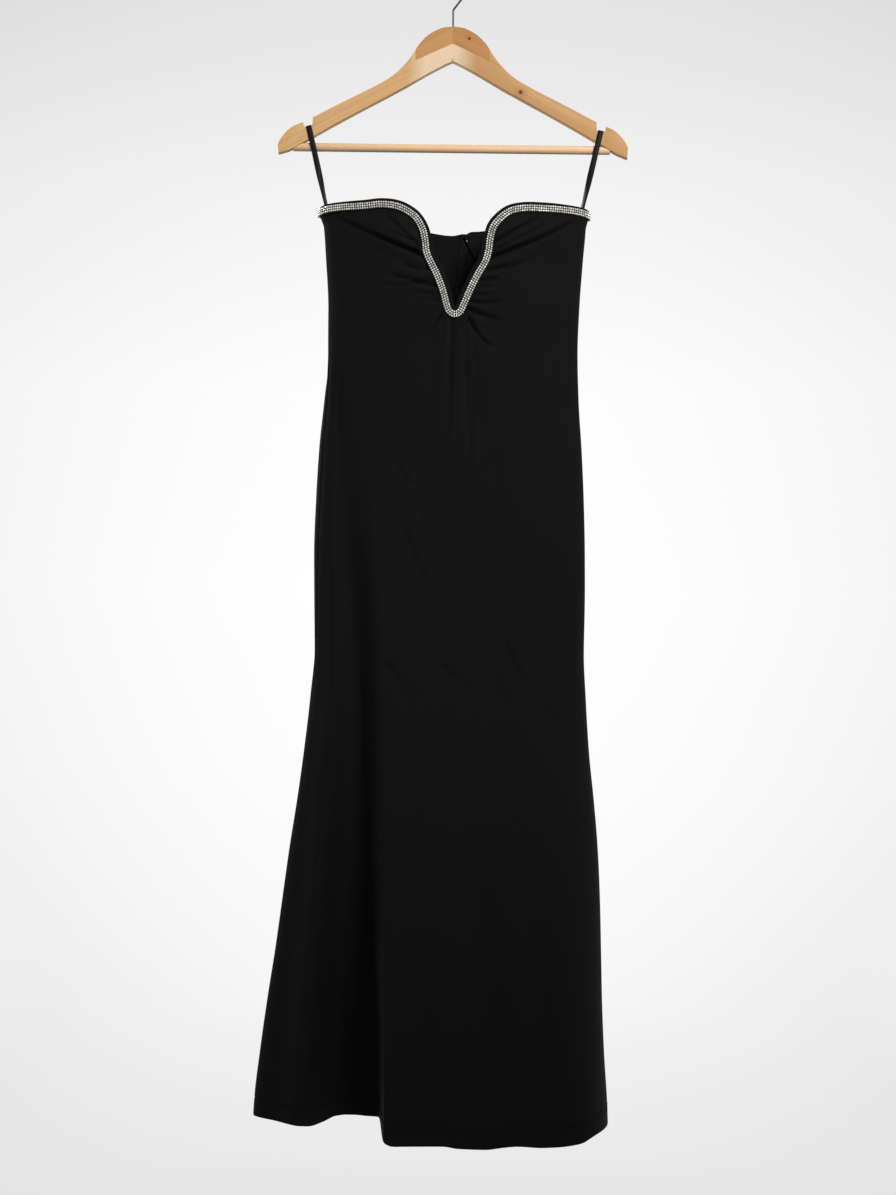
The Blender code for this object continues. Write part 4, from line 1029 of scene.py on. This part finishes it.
def stoneSeats():  # where the stones sit, and the three directions of each
    places, frames = [], []
    for away in trim["rows"]:
        runs = np.linspace(1.2, neckRun[-1] - 1.2, 2400)
        line = trimPoint(runs, rollWidth(runs) + away, np.full(len(runs), trim["tape"]))
        length = alongLine(line)
        count = int(length[-1] / trim["pitch"])
        at = np.interp((np.arange(count) + 0.5) * length[-1] / count, length, runs)
        beside, rise = rollWidth(at) + away, np.full(count, trim["tape"])
        here = trimPoint(at, beside, rise)
        ahead = unit(trimPoint(at + 0.5, beside, rise) - here)
        out = unit(np.cross(trimPoint(at, beside + 0.5, rise) - here, ahead))
        places.append(here)
        frames.append(np.stack([ahead, np.cross(out, ahead), out], axis=1))
    return np.concatenate(places), np.concatenate(frames)


def addStone():  # one cut stone, flat underneath, with its crown drawn in to a small table
    bpy.ops.mesh.primitive_cylinder_add(vertices=trim["sides"], radius=trim["stone"], depth=trim["girdle"],
                                        location=(0, 0, trim["girdle"] / 2))
    stone = bpy.context.object
    pickFaces(stone, lambda normal: normal.z > 0.9)
    rise = trim["crown"] - trim["girdle"]
    low = rise * trim["step"]
    drawnIn = trim["flatTop"] / (trim["stone"] * trim["stepWidth"])
    for lift, width in ((low, trim["stepWidth"]), (rise - low, drawnIn)):
        bpy.ops.mesh.extrude_region_move(TRANSFORM_OT_translate={"value": (0, 0, lift)})
        bpy.ops.transform.resize(value=(width, width, 1), center_override=(0, 0, trim["crown"]))
    bpy.ops.object.mode_set(mode="OBJECT")
    return stone


def addCup():  # the cup that holds it, open at the top, with its rim
    bpy.ops.mesh.primitive_cylinder_add(vertices=trim["sides"], radius=trim["cup"], depth=trim["cupHeight"],
                                        location=(0, 0, trim["cupHeight"] / 2))
    cup = bpy.context.object
    pickFaces(cup, lambda normal: normal.z > 0.9)
    bpy.ops.mesh.inset(thickness=trim["cupRim"])
    bpy.ops.mesh.extrude_region_move(TRANSFORM_OT_translate={"value": (0, 0, -trim["cupDeep"])})
    bpy.ops.object.mode_set(mode="OBJECT")
    return cup


trimTape = makeTrimTape()
seats, seatFrames = stoneSeats()
turns = rng.uniform(0, trim["turn"], len(seats))
sizes = rng.uniform(*trim["sizes"], len(seats))
stonePlaces = seats + seatFrames[:, 2] * trim["stoneLift"]
cupPlaces = seats - seatFrames[:, 2] * trim["cupSunk"]
stones = spreadCopies("trim_stones", addStone(), stonePlaces, seatFrames, turns, sizes)
cups = spreadCopies("trim_cups", addCup(), cupPlaces, seatFrames, turns, sizes)
print("stone trim:", len(seats), "stones")


def stoneFinish():
    made = Finish("stones", seen(225, 225, 222), roughness=0.2, metallic=0.42, coat=0.5, specular=0.6)
    tone = made.add("Attribute", {"attribute_name": "tone"}, None, 2)
    made.set("colour", made.mix(tone, seen(196, 194, 188), seen(255, 252, 244)))
    made.set("roughness", 0.12 + tone * 0.16)
    return made


stoneGlass = stoneFinish()
stoneGlass.paint(stones)
rubbed("cups", (128, 126, 121), 900.0, 0.24, 0.2, roughness=0.3, metallic=1.0).paint(cups)
netting = woven("trim_tape", (40, 40, 40), 1800.0, (26, 26, 27), (54, 53, 52), (0.4, 0.0003), roughness=0.8)
netting.paint(trimTape)


# Hanger loops: narrow satin ribbon, flat over the notch and turned edge-on where it is sewn

ribbon = {
    "width": 7.0, "thick": 1.0, "depth": 7.4, "shoulders": ((1.0, 2.7), (0.9, 0.35)), "foot": -316.0,
    "leave": -305.5, "lie": 0.85, "clear": 1.1, "twist": 0.62, "strandGap": 0.4,
    "over": {"left": (-181.0, -206.9), "right": (188.6, -209.2)},
}


def ribbonStrand(foot, over, faceY):
    strand = [(foot[0], foot[1], ribbon["foot"] + (ribbon["leave"] - ribbon["foot"]) * part, 1.0)
              for part in (0.0, 0.5, 1.0)]
    for part in (0.1, 0.2, 0.3, 0.42, 0.55, 0.7, 0.85, 0.95):
        x = foot[0] + (over[0] - foot[0]) * part
        y = foot[1] + (faceY - foot[1]) * float(ease(part / ribbon["lie"]))
        z = ribbon["leave"] + (over[1] - ribbon["leave"]) * part
        strand.append((x, y, z, 1.0 - float(ease(part / ribbon["twist"]))))
    for part, drop in ribbon["shoulders"]:
        lean = (foot[0] - over[0]) * drop / (over[1] - ribbon["leave"])
        strand.append((over[0] + lean, faceY * part, over[1] - drop, 0.0))
    return strand


def makeLoop(side):
    share = np.array([0.0 if side == "left" else 1.0])
    footZ = np.array([ribbon["foot"]])
    inward = -outward("front", share, footZ)[0]
    footTurn = math.atan2(inward[0], -inward[1])
    over = ribbon["over"][side]
    inset = cloth["thick"] + ribbon["clear"] + ribbon["thick"] / 2
    outer = onPanel("front", share, footZ)[0] + inward * inset
    inner = outer + inward * (ribbon["thick"] + ribbon["strandGap"])
    knots = ribbonStrand(inner, over, -ribbon["depth"]) + [(over[0], 0.0, over[1], 0.0)]
    knots += ribbonStrand(outer, over, ribbon["depth"])[::-1]
    line = curveThrough(knots, 5)
    path, twist = line[:, :3], np.clip(line[:, 3], 0.0, 1.0)
    ahead = unit(np.gradient(path, axis=0))
    rise = unit(np.array([over[0] - outer[0], 0.0, over[1] - ribbon["leave"]]))
    level = np.array([rise[2], 0.0, -rise[0]])
    profile = ((-1, -0.5), (-0.9, -1), (0.9, -1), (1, -0.5), (1, 0.5), (0.9, 1), (-0.9, 1), (-1, 0.5))
    points = []
    for point, forward, turned in zip(path, ahead, twist):
        turn = footTurn * turned
        wide = np.array([math.cos(turn), math.sin(turn), 0.0])
        flatten = float(ease(turned * 12))
        wide = wide * flatten + level * (1 - flatten)
        wide = unit(wide - forward * wide.dot(forward))
        thick = np.cross(forward, wide)
        points += [point + wide * (ribbon["width"] / 2 * a) + thick * (ribbon["thick"] / 2 * b)
                   for a, b in profile]
    count = len(profile)
    faces = capped(gridFaces(len(path), count, around=True), count, len(points))
    length = alongLine(path)
    uv = [(a * ribbon["width"] / 2 * mm, run * mm) for run in length for a, b in profile]
    made = meshObject("ribbon_" + side, points, faces, uv)
    made.data.set_sharp_from_angle(angle=math.radians(40))
    print("ribbon", side, round(length[-1]), "mm long")
    return made


ribbons = {side: makeLoop(side) for side in ("left", "right")}


def satinFinish():
    made = Finish("satin", seen(16, 16, 17), roughness=0.42, sheen=0.02, specular=0.1)
    across, along, _ = made.axes(made.place("UV"))
    rib = (along * (2 * math.pi / 0.0006)).sine()
    edge = made.between(across.size() / 0.0035, 0.72, 0.95, interpolation_type="SMOOTHSTEP")
    made.set("colour", made.mix(edge, seen(17, 17, 18), seen(10, 10, 11)))
    made.set("roughness", 0.38 + edge * 0.25)
    made.bump(rib * 0.4 + edge * 0.6, 0.4, 0.0002)
    return made


satin = satinFinish()
satin.paint(*ribbons.values())


# Wooden hanger: two arms with rounded edges, mitred at the centre, and a round bar

wood = {
    "thick": 13.0, "round": 3.0, "segments": 4, "mitreGap": 0.04, "notchRadius": 6.2,
    "notch": {"left": (-182.0, -202.9), "right": (189.0, -205.2)}, "reach": {"left": 1.0, "right": 1.015},
    "tipLift": {"left": 1.8, "right": 0.0},
    "barRadius": 5.4, "barZ": -232.9, "barEnd": 200.5, "barSides": 32,
}
armTop = table(
    "x z",
    (0, -79.4), (11.4, -80.7), (21.4, -84.5), (31.5, -90.8), (41.5, -101), (51.4, -116.4), (61.4, -128.9),
    (71.4, -138.8), (81.4, -146.4), (92, -152.7), (141.7, -178.1), (189, -202.5), (199.5, -206.8),
    (208, -213.2), (215.5, -222.2), (220, -231), (221.6, -238),
)
armUnder = table(
    "x z",
    (0, -123.4), (10.8, -128.6), (30.9, -139.4), (61, -157.2), (121.4, -190), (151.5, -206.8), (191, -229.8),
    (206, -238.6), (219, -243.7),
)


def armOutline(side):
    reach = wood["reach"][side]
    notchX, notchZ = wood["notch"][side]
    notchX = abs(notchX)
    topX = np.concatenate([np.arange(0, 92, 3.0), np.arange(92, 200, 9.0), np.arange(200, 221.7, 2.2)])
    top = [(x * reach, float(smooth(armTop["x"], armTop["z"], x))) for x in topX]
    radius = wood["notchRadius"]
    kept = [point for point in top if math.hypot(point[0] - notchX, point[1] - notchZ) > radius
            and not (abs(point[0] - notchX) < radius and point[1] > notchZ)]
    before = [point for point in kept if point[0] < notchX]
    after = [point for point in kept if point[0] > notchX]
    arc = [(notchX + radius * math.cos(turn), notchZ + radius * math.sin(turn))
           for turn in np.radians(np.linspace(-158, -22, 11))]
    rims = [[(x, float(smooth(armTop["x"] * reach, armTop["z"], x)))]
            for x in (notchX - radius, notchX + radius)]
    under = []
    for x in (219, 212, 206, 198, 191, 171, 151.5, 121.4, 91, 61, 46, 30.9, 20, 10.8, 0):
        lift = wood["tipLift"][side] * float(ease((x - 198) / 21))
        under.append((x * reach, float(smooth(armUnder["x"], armUnder["z"], x)) + lift))
    outline = before + rims[0] + arc + rims[1] + after + under
    return [(max(x, wood["mitreGap"] / 2), z) for x, z in outline]


def makeArm(side):
    sign = -1 if side == "left" else 1
    outline = armOutline(side)
    bpy.ops.mesh.primitive_circle_add(vertices=len(outline), fill_type="NGON", location=(0, 0, 0))
    arm = bpy.context.object
    arm.name = "wood_arm_" + side
    for vertex, (x, z) in zip(arm.data.vertices, outline):
        vertex.co = (sign * x * mm, -wood["thick"] / 2 * mm, z * mm)
    bpy.ops.object.mode_set(mode="EDIT")
    bpy.ops.mesh.select_all(action="SELECT")
    bpy.ops.mesh.extrude_region_move(TRANSFORM_OT_translate={"value": (0, wood["thick"] * mm, 0)})
    bpy.ops.mesh.select_all(action="SELECT")
    bpy.ops.mesh.normals_make_consistent(inside=False)
    bpy.ops.object.mode_set(mode="OBJECT")
    weight = arm.data.attributes.new("bevel_weight_edge", "FLOAT", "EDGE")
    for edge in arm.data.edges:
        ends = [arm.data.vertices[place].co / mm for place in edge.vertices]
        onFace = abs(ends[0].y - ends[1].y) < 1
        atMitre = max(abs(end.x) for end in ends) < 1
        notchX, notchZ = wood["notch"][side]
        inNotch = all(math.hypot(end.x - notchX, end.z - notchZ) < wood["notchRadius"] + 0.3 for end in ends)
        weight.data[edge.index].value = 0.0 if atMitre or not onFace else (0.25 if inNotch else 1.0)
    applyModifier(arm, "BEVEL", width=wood["round"] * mm, segments=wood["segments"], limit_method="WEIGHT",
                  harden_normals=False)
    arm.data.shade_smooth()
    arm.data.set_sharp_from_angle(angle=math.radians(35))
    return arm


def makeBar():
    bpy.ops.mesh.primitive_cylinder_add(vertices=wood["barSides"], radius=wood["barRadius"] * mm,
                                        depth=2 * wood["barEnd"] * mm, location=(0, 0, wood["barZ"] * mm),
                                        rotation=(0, math.pi / 2, 0))
    bar = bpy.context.object
    bar.name = "wood_bar"
    bpy.ops.object.transform_apply(location=True, rotation=True, scale=True)
    applyModifier(bar, "BEVEL", width=0.6 * mm, segments=2, limit_method="ANGLE",
                  angle_limit=math.radians(50))
    bar.data.shade_smooth()
    bar.data.set_sharp_from_angle(angle=math.radians(35))
    return bar


def makeScrew():  # plug of the countersunk screw under the mitre
    bpy.ops.mesh.primitive_cylinder_add(vertices=20, radius=1.4 * mm, depth=0.8 * mm,
                                        rotation=(math.pi / 2, 0, 0),
                                        location=(0, (-wood["thick"] / 2 + 0.15) * mm, -121.2 * mm))
    screw = bpy.context.object
    screw.name = "mitre_screw"
    bpy.ops.object.transform_apply(location=True, rotation=True, scale=True)
    pickFaces(screw, lambda normal: normal.y < -0.9)
    bpy.ops.mesh.inset(thickness=0.35 * mm)
    bpy.ops.transform.translate(value=(0, 0.35 * mm, 0))
    bpy.ops.object.mode_set(mode="OBJECT")
    return screw


screw = makeScrew()
arms = {side: makeArm(side) for side in ("left", "right")}
bar = makeBar()
print("hanger wood made")

grain = {
    "slope": 27.2,
    # Painted light: the left arm's colours are set lighter than the right arm's, for more light falling on the left
    # arm.
    "left": {"light": (224, 179, 122), "dark": (206, 158, 102),
             "domeShadeLight": (204, 152, 92), "domeShadeDark": (188, 134, 76)},
    "right": {"light": (206, 160, 104), "dark": (188, 141, 86),
              "domeShadeLight": (195, 139, 80), "domeShadeDark": (178, 121, 64)},
    "bar": {"light": (243, 205, 163), "dark": (226, 183, 139)}, "wedge": (242, 214, 180),
    "wedgeFade": {-1: (0.056, 0.034), 1: (0.03, 0.006)},
    "knots": ((20.9, -94.6, 2.4), (86.6, -161.6, 3.4)),
}


def woodFinish(name, colours, slope, domeSide=0):
    made = Finish(name, seen(*colours["light"]), roughness=0.52, coat=0.08, coatRoughness=0.5, specular=0.3)
    place = made.place()
    along = made.moved(place, rotation=(0, math.radians(slope), 0))
    streak = made.noise(made.moved(along, scale=(7, 420, 420)), 1.0, 5.0, 0.6)
    fine = made.noise(made.moved(along, scale=(40, 1500, 1500)), 1.0, 3.0, 0.6)
    fleck = made.noise(made.moved(along, scale=(260, 2600, 2600)), 1.0, 1.0, 0.5)
    flecks = made.between(fleck, 0.62, 0.74)
    tone = made.between(streak * 0.75 + fine * 0.25, 0.34, 0.66)
    colour = made.mix(tone, seen(*colours["dark"]), seen(*colours["light"]))
    # Painted shade: the top of each arm beside the mitre, above a sloping line, is coloured darker for the shade on
    # its rounded top.
    if domeSide:
        across, _, height = made.axes(place)
        inside = made.between(height + across.size() * 0.46 + 0.1012, -0.0006, 0.0006)
        near = made.between(across.size(), 0.0475, 0.0465)
        domeShade = made.mix(tone, seen(*colours["domeShadeDark"]), seen(*colours["domeShadeLight"]))
        middle = made.between(across.size(), *grain["wedgeFade"][domeSide])
        colour = made.mix(middle * 0.85, colour, seen(*grain["wedge"]))
        colour = made.mix(inside * near, colour, domeShade)
    colour = made.mix(flecks * 0.3, colour, seen(160, 116, 74))
    if domeSide == 1:
        wander = made.noise(place, 420.0, 2.0)
        for knotX, knotZ, size in grain["knots"]:
            across, _, height = made.axes(made.moved(place, (-knotX * mm, 0, -knotZ * mm)))
            away = (across * across + height * height) ** 0.5 / (size * mm) + wander * 0.6 - 0.3
            heart, halo = made.between(away, 0.95, 0.6), made.between(away, 3.2, 0.8)
            colour = made.mix(halo * 0.45, colour, seen(172, 112, 52))
            colour = made.mix(heart, colour, seen(84, 44, 18))
    made.set("colour", colour)
    made.set("roughness", 0.5 + fine * 0.12)
    made.bump(fine * 0.6 + streak * 0.4, 0.04, 0.0004)
    return made


woodFinish("wood_left", grain["left"], grain["slope"], -1).paint(arms["left"])
woodFinish("wood_right", grain["right"], -grain["slope"], 1).paint(arms["right"])
woodFinish("wood_bar", grain["bar"], 0).paint(bar)


# Wire hook

hook = {"wire": 1.35, "radius": 22.0, "lean": 37.0, "end": 222.0, "bend": 5.0, "woodTop": -80.2, "sunk": 12.0}


def hookLine():
    lean = math.radians(hook["lean"])
    centre = -(hook["radius"] - hook["wire"])
    kink = centre - hook["radius"] / math.sin(lean)
    points = [(0.0, hook["woodTop"] - hook["sunk"]), (0.0, hook["woodTop"])]
    backOff = hook["bend"] * math.tan(lean / 2)
    for turn in np.linspace(0.0, lean, 7):
        points.append((hook["bend"] * (1 - math.cos(turn)), kink - backOff + hook["bend"] * math.sin(turn)))
    for turn in np.radians(np.linspace(-hook["lean"], hook["end"], 64)):
        points.append((hook["radius"] * math.cos(turn), centre + hook["radius"] * math.sin(turn)))
    return np.array([(x, 0.0, z) for x, z in points])


def makeHook():
    line = hookLine()
    tip = unit(line[-1] - line[-2])
    line = np.vstack([line, [line[-1] + tip * step for step in (0.6, 1.0, 1.3)]])
    radii = np.concatenate([np.ones(len(line) - 3), (0.92, 0.7, 0.25)])
    bpy.ops.curve.primitive_nurbs_path_add(location=(0, 0, 0))
    wire = bpy.context.object
    wire.name = "wire_hook"
    path = wire.data.splines[0]
    path.type = "POLY"
    path.points.add(len(line) - len(path.points))
    for point, place, radius in zip(path.points, line, radii):
        point.co = (*(place * mm), 1.0)
        point.radius = radius
    wire.data.bevel_depth = hook["wire"] * mm
    wire.data.bevel_resolution = 5
    wire.data.use_fill_caps = True
    bpy.ops.object.convert(target="MESH")
    wire.data.shade_smooth()
    return wire


wireHook = makeHook()
steel = Finish("steel", seen(78, 78, 80), roughness=0.26, metallic=1.0)
drawn = steel.noise(steel.moved(steel.place(), scale=(1, 1, 0.1)), 900.0, 3.0)
steel.set("roughness", 0.22 + drawn * 0.16)
steel.set("colour", steel.mix(drawn, seen(64, 64, 67), seen(92, 92, 95)))
steel.paint(wireHook)
rubbed("screw", (70, 50, 34), 1500.0, 0.4, 0.3, roughness=0.5, metallic=0.4).paint(screw)


# Which piece stands for which solid, and what it rides on

def settle(piece, slot, *nodes, body="garment"):
    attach(piece, body)
    if nodes:
        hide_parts(*nodes)


settle(frontCloth, "jersey", "front_panel")
settle(backCloths["left"][0], "jersey", "back_left")
settle(backCloths["right"][0], "jersey", "back_right")
for piece in rolls:
    settle(piece, "jersey")
settle(hemStitches, "jersey")
for strip in strips:
    settle(strip, "jersey")
settle(trimTape, "stones", "stone_trim")
settle(stones, "stones")
settle(cups, "stones")
for side in ("left", "right"):
    settle(ribbons[side], "satin", "loop_" + side)
    settle(arms[side], "beech", "hanger_arm_" + side)
settle(bar, "pale_beech", "hanger_bar")
settle(wireHook, "steel", "hanger_hook")
settle(screw, "steel")

for side, (piece, _, _, area) in backCloths.items():
    "hanger_arm_" + side


# Zip: coil teeth on the inside of its tape, with the top stop and the curled edge of the tape

zipper = {
    "top": -338.0, "length": 296.0, "pitch": 1.5, "depth": 3.15, "tooth": (2.4, 0.8, 0.8), "width": 0.55,
    "stop": (20.4, -344.3), "stopDepth": 3.6, "stopSize": (2.2, 1.2, 3.0), "curlDepth": 3.9,
    "curl": ((17.0, -338.5), (19.2, -343.5), (22.5, -350.0), (26.5, -358.4), (31.7, -367.3), (35.5, -378)),
}


def insideBack(x, z, depth):
    plan = panelMaps["left" if x < np.interp(-z, -bodyPlan["z"], bodyPlan["zipX"]) else "right"]
    line = plan[levelRow(z)]
    line = line[np.argsort(line[:, 0])]
    return float(np.interp(x, line[:, 0], line[:, 1])) - depth


def makeTeeth():
    count = int(zipper["length"] / zipper["pitch"])
    heights = zipper["top"] - (np.arange(count) + 0.5) * zipper["pitch"]
    places, frames = [], []
    for place, z in enumerate(heights):
        x = float(smooth(-bodyPlan["z"], bodyPlan["zipX"], -z)) + zipper["width"] * (1 if place % 2 else -1)
        places.append((x, insideBack(x, z, zipper["depth"]), z))
        frames.append(np.array([(1.0, 0.0, 0.0), (0.0, 0.0, 1.0), (0.0, -1.0, 0.0)]))
    bpy.ops.mesh.primitive_cube_add(size=1)
    tooth = bpy.context.object
    tooth.scale = zipper["tooth"]
    bpy.ops.object.transform_apply(location=False, rotation=False, scale=True)
    applyModifier(tooth, "BEVEL", width=0.22, segments=2)
    made = spreadCopies("zip_teeth", tooth, np.array(places), np.array(frames))
    print("zip:", count, "teeth")
    return made


def makeTopStop():
    x, z = zipper["stop"]
    y = insideBack(x, z, zipper["stopDepth"])
    bpy.ops.mesh.primitive_cube_add(size=1, location=Vector((x, y, z)) * mm)
    stop = bpy.context.object
    stop.name = "zip_stop"
    stop.scale = Vector(zipper["stopSize"]) * mm
    bpy.ops.object.transform_apply(location=True, rotation=True, scale=True)
    applyModifier(stop, "BEVEL", width=0.35 * mm, segments=2)
    return stop


def makeTapeCurl():
    places = [(x, insideBack(x, z, zipper["curlDepth"]), z) for x, z in curveThrough(zipper["curl"], 6)]
    return tube("zip_tape_curl", places, 1.0, 10)


teeth, topStop, tapeCurl = makeTeeth(), makeTopStop(), makeTapeCurl()
rubbed("coil", (14, 14, 14), 1200.0, 0.55, 0.2, roughness=0.6, specular=0.1).paint(teeth)
rubbed("zip_stop", (150, 148, 142), 900.0, 0.25, 0.2, roughness=0.3, metallic=1.0).paint(topStop)
# The curled edge is a real piece of the tape. Its colour is set darker than the tape's, as painted shade for the
# dark crease beside it.
curlShade = mottled("tape_edge_shaded", (8, 8, 8), 1500.0, (6, 6, 6), (10, 10, 10), roughness=0.9, specular=0.02)
curlShade.paint(tapeCurl)
settle(teeth, "tape")
settle(topStop, "steel")
settle(tapeCurl, "tape")

enamel = rubbed("enamel", (14, 14, 15), 800.0, 0.26, 0.15, roughness=0.3, coat=0.2, specular=0.3)
tapeWeave = woven("zip_tape", (19, 19, 19), 900.0, (17, 17, 17), (25, 25, 25), (0.3, 0.0002), (1, 1, 2.5),
                  roughness=0.85, specular=0.05)
enamel.paint(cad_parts["zip_slider"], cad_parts["zip_pull"])
tapeWeave.paint(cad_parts["zip_tape"])


# Studio: a pale round cove with its floor, glowing with painted light that is brightest on the wall behind the dress
# and darker towards its floor, top and sides; soft lights; and the camera where the photographer stood

studio = {
    "floor": -1.75, "flatRadius": 2.3, "coveRadius": 2.5, "top": 4.2, "steps": 96,
    "camera": (0.002, -2.7, -0.8013), "lens": 64.2, "roll": -0.66, "ambient": 0.24,
    "glow": ((0.0, 0.75), (0.72, 0.79), (0.96, 0.825), (2.3, 0.93), (3.78, 0.985), (4.56, 1.0), (5.35, 0.985),
             (6.08, 0.905), (6.5, 0.82), (6.76, 0.78), (7.5, 0.7), (10.2, 0.62)),
    "sideFall": 0.75, "sideMost": 0.1,
    "key": {"from": (1.1, -2.25, 1.0), "at": (0, 0, -0.5), "watts": 320, "size": 0.5, "cone": 36,
            "blend": 0.85},
    "lamps": (("fill", (-1.3, -2.2, 0.9), (1.0, 1.0), 2.5, (0, 0, -0.2)),
              ("side_left", (-1.8, 0.9, 0.3), (1.0, 1.4), 34, (0, 0, -0.45)),
              ("side_right", (1.7, 1.1, 0.5), (1.0, 1.2), 11, (0, 0, -0.3)),
              ("back", (-0.5, 2.6, 0.6), (1.6, 1.6), 24, (0, 0, -0.5))),
}


def makeCove():
    r, flat, floor = studio["coveRadius"], studio["flatRadius"], studio["floor"]
    turns = np.linspace(0, math.pi / 2, 28)
    profile = [(radius, floor) for radius in (0.02, 0.5, 1.0, 1.6)]
    profile += [(flat + r * math.sin(turn), floor + r - r * math.cos(turn)) for turn in turns]
    profile += [(flat + r, floor + r + rise) for rise in (0.6, 1.4, 2.4, studio["top"])]
    profile = np.array(profile)
    length = alongLine(profile)
    angles = np.arange(studio["steps"]) * 2 * math.pi / studio["steps"]
    points = [(radius * math.sin(angle) * 1000, radius * math.cos(angle) * 1000, z * 1000)
              for radius, z in profile for angle in angles]
    uv = [(0.0, run) for run in length for angle in angles]
    faces = gridFaces(len(profile), studio["steps"], around=True) + [tuple(range(studio["steps"]))]
    cove = meshObject("cove", points, faces, uv)
    cove.visible_diffuse = False
    cove.visible_shadow = False
    # Painted light: the cove glows by its own emission rather than being lit, with a painted falloff towards its
    # floor, top and sides.
    coveGlow = Finish("cove_glow", (0, 0, 0, 1), roughness=1.0, specular=0.0)
    _, run, _ = coveGlow.axes(coveGlow.place("UV"))
    longest = studio["glow"][-1][0]
    stops = [(at / longest, (value, value, value, 1)) for at, value in studio["glow"]]
    glow = coveGlow.add("ValToRGB", {"stops": stops}, {"Fac": run / longest})
    across, along, _ = coveGlow.axes(coveGlow.place())
    side = across * across / (across * across + along * along).atLeast(6.0) * studio["sideFall"]
    lit = coveGlow.mix(1.0, glow, grey(coveGlow, 1 - side.atMost(studio["sideMost"])), "MULTIPLY")
    coveGlow.feed(coveGlow.shader.inputs["Emission Color"], lit)
    coveGlow.shader.inputs["Emission Strength"].default_value = 1.0
    coveGlow.material.cycles.emission_sampling = "NONE"
    coveGlow.paint(cove)


def grey(finish, value):  # one number as a colour
    return finish.add("CombineColor", None, {0: value, 1: value, 2: value})


def addLamp(name, kind, location, watts, aim):
    bpy.ops.object.light_add(type=kind, location=location)
    lamp = bpy.context.object
    lamp.name = name
    lamp.data.energy = watts
    lamp.visible_camera = False
    lamp.rotation_mode = "QUATERNION"
    lamp.rotation_quaternion = (Vector(aim) - Vector(location)).to_track_quat("-Z", "Y")
    return lamp.data


def makeStudio():
    makeCove()
    key = studio["key"]
    spot = addLamp("key", "SPOT", key["from"], key["watts"], key["at"])
    spot.shadow_soft_size = key["size"]
    spot.spot_size, spot.spot_blend = math.radians(key["cone"]), key["blend"]
    for name, location, size, watts, aim in studio["lamps"]:
        area = addLamp(name, "AREA", location, watts, aim)
        area.shape = "RECTANGLE"
        area.size, area.size_y = size
    world = bpy.data.worlds.new("studio")
    world.use_nodes = True
    world.node_tree.nodes["Background"].inputs["Color"].default_value = (1, 1, 1, 1)
    world.node_tree.nodes["Background"].inputs["Strength"].default_value = studio["ambient"]
    bpy.context.scene.world = world
    camera = bpy.data.objects.new("camera", bpy.data.cameras.new("camera"))
    bpy.context.scene.collection.objects.link(camera)
    camera.location = studio["camera"]
    camera.rotation_euler = (math.pi / 2, math.radians(studio["roll"]), 0)
    camera.data.lens = studio["lens"]
    camera.data.clip_start, camera.data.clip_end = 0.05, 50
    bpy.context.scene.camera = camera
    bpy.context.scene.view_settings.view_transform = "Standard"


makeStudio()
print("finished")
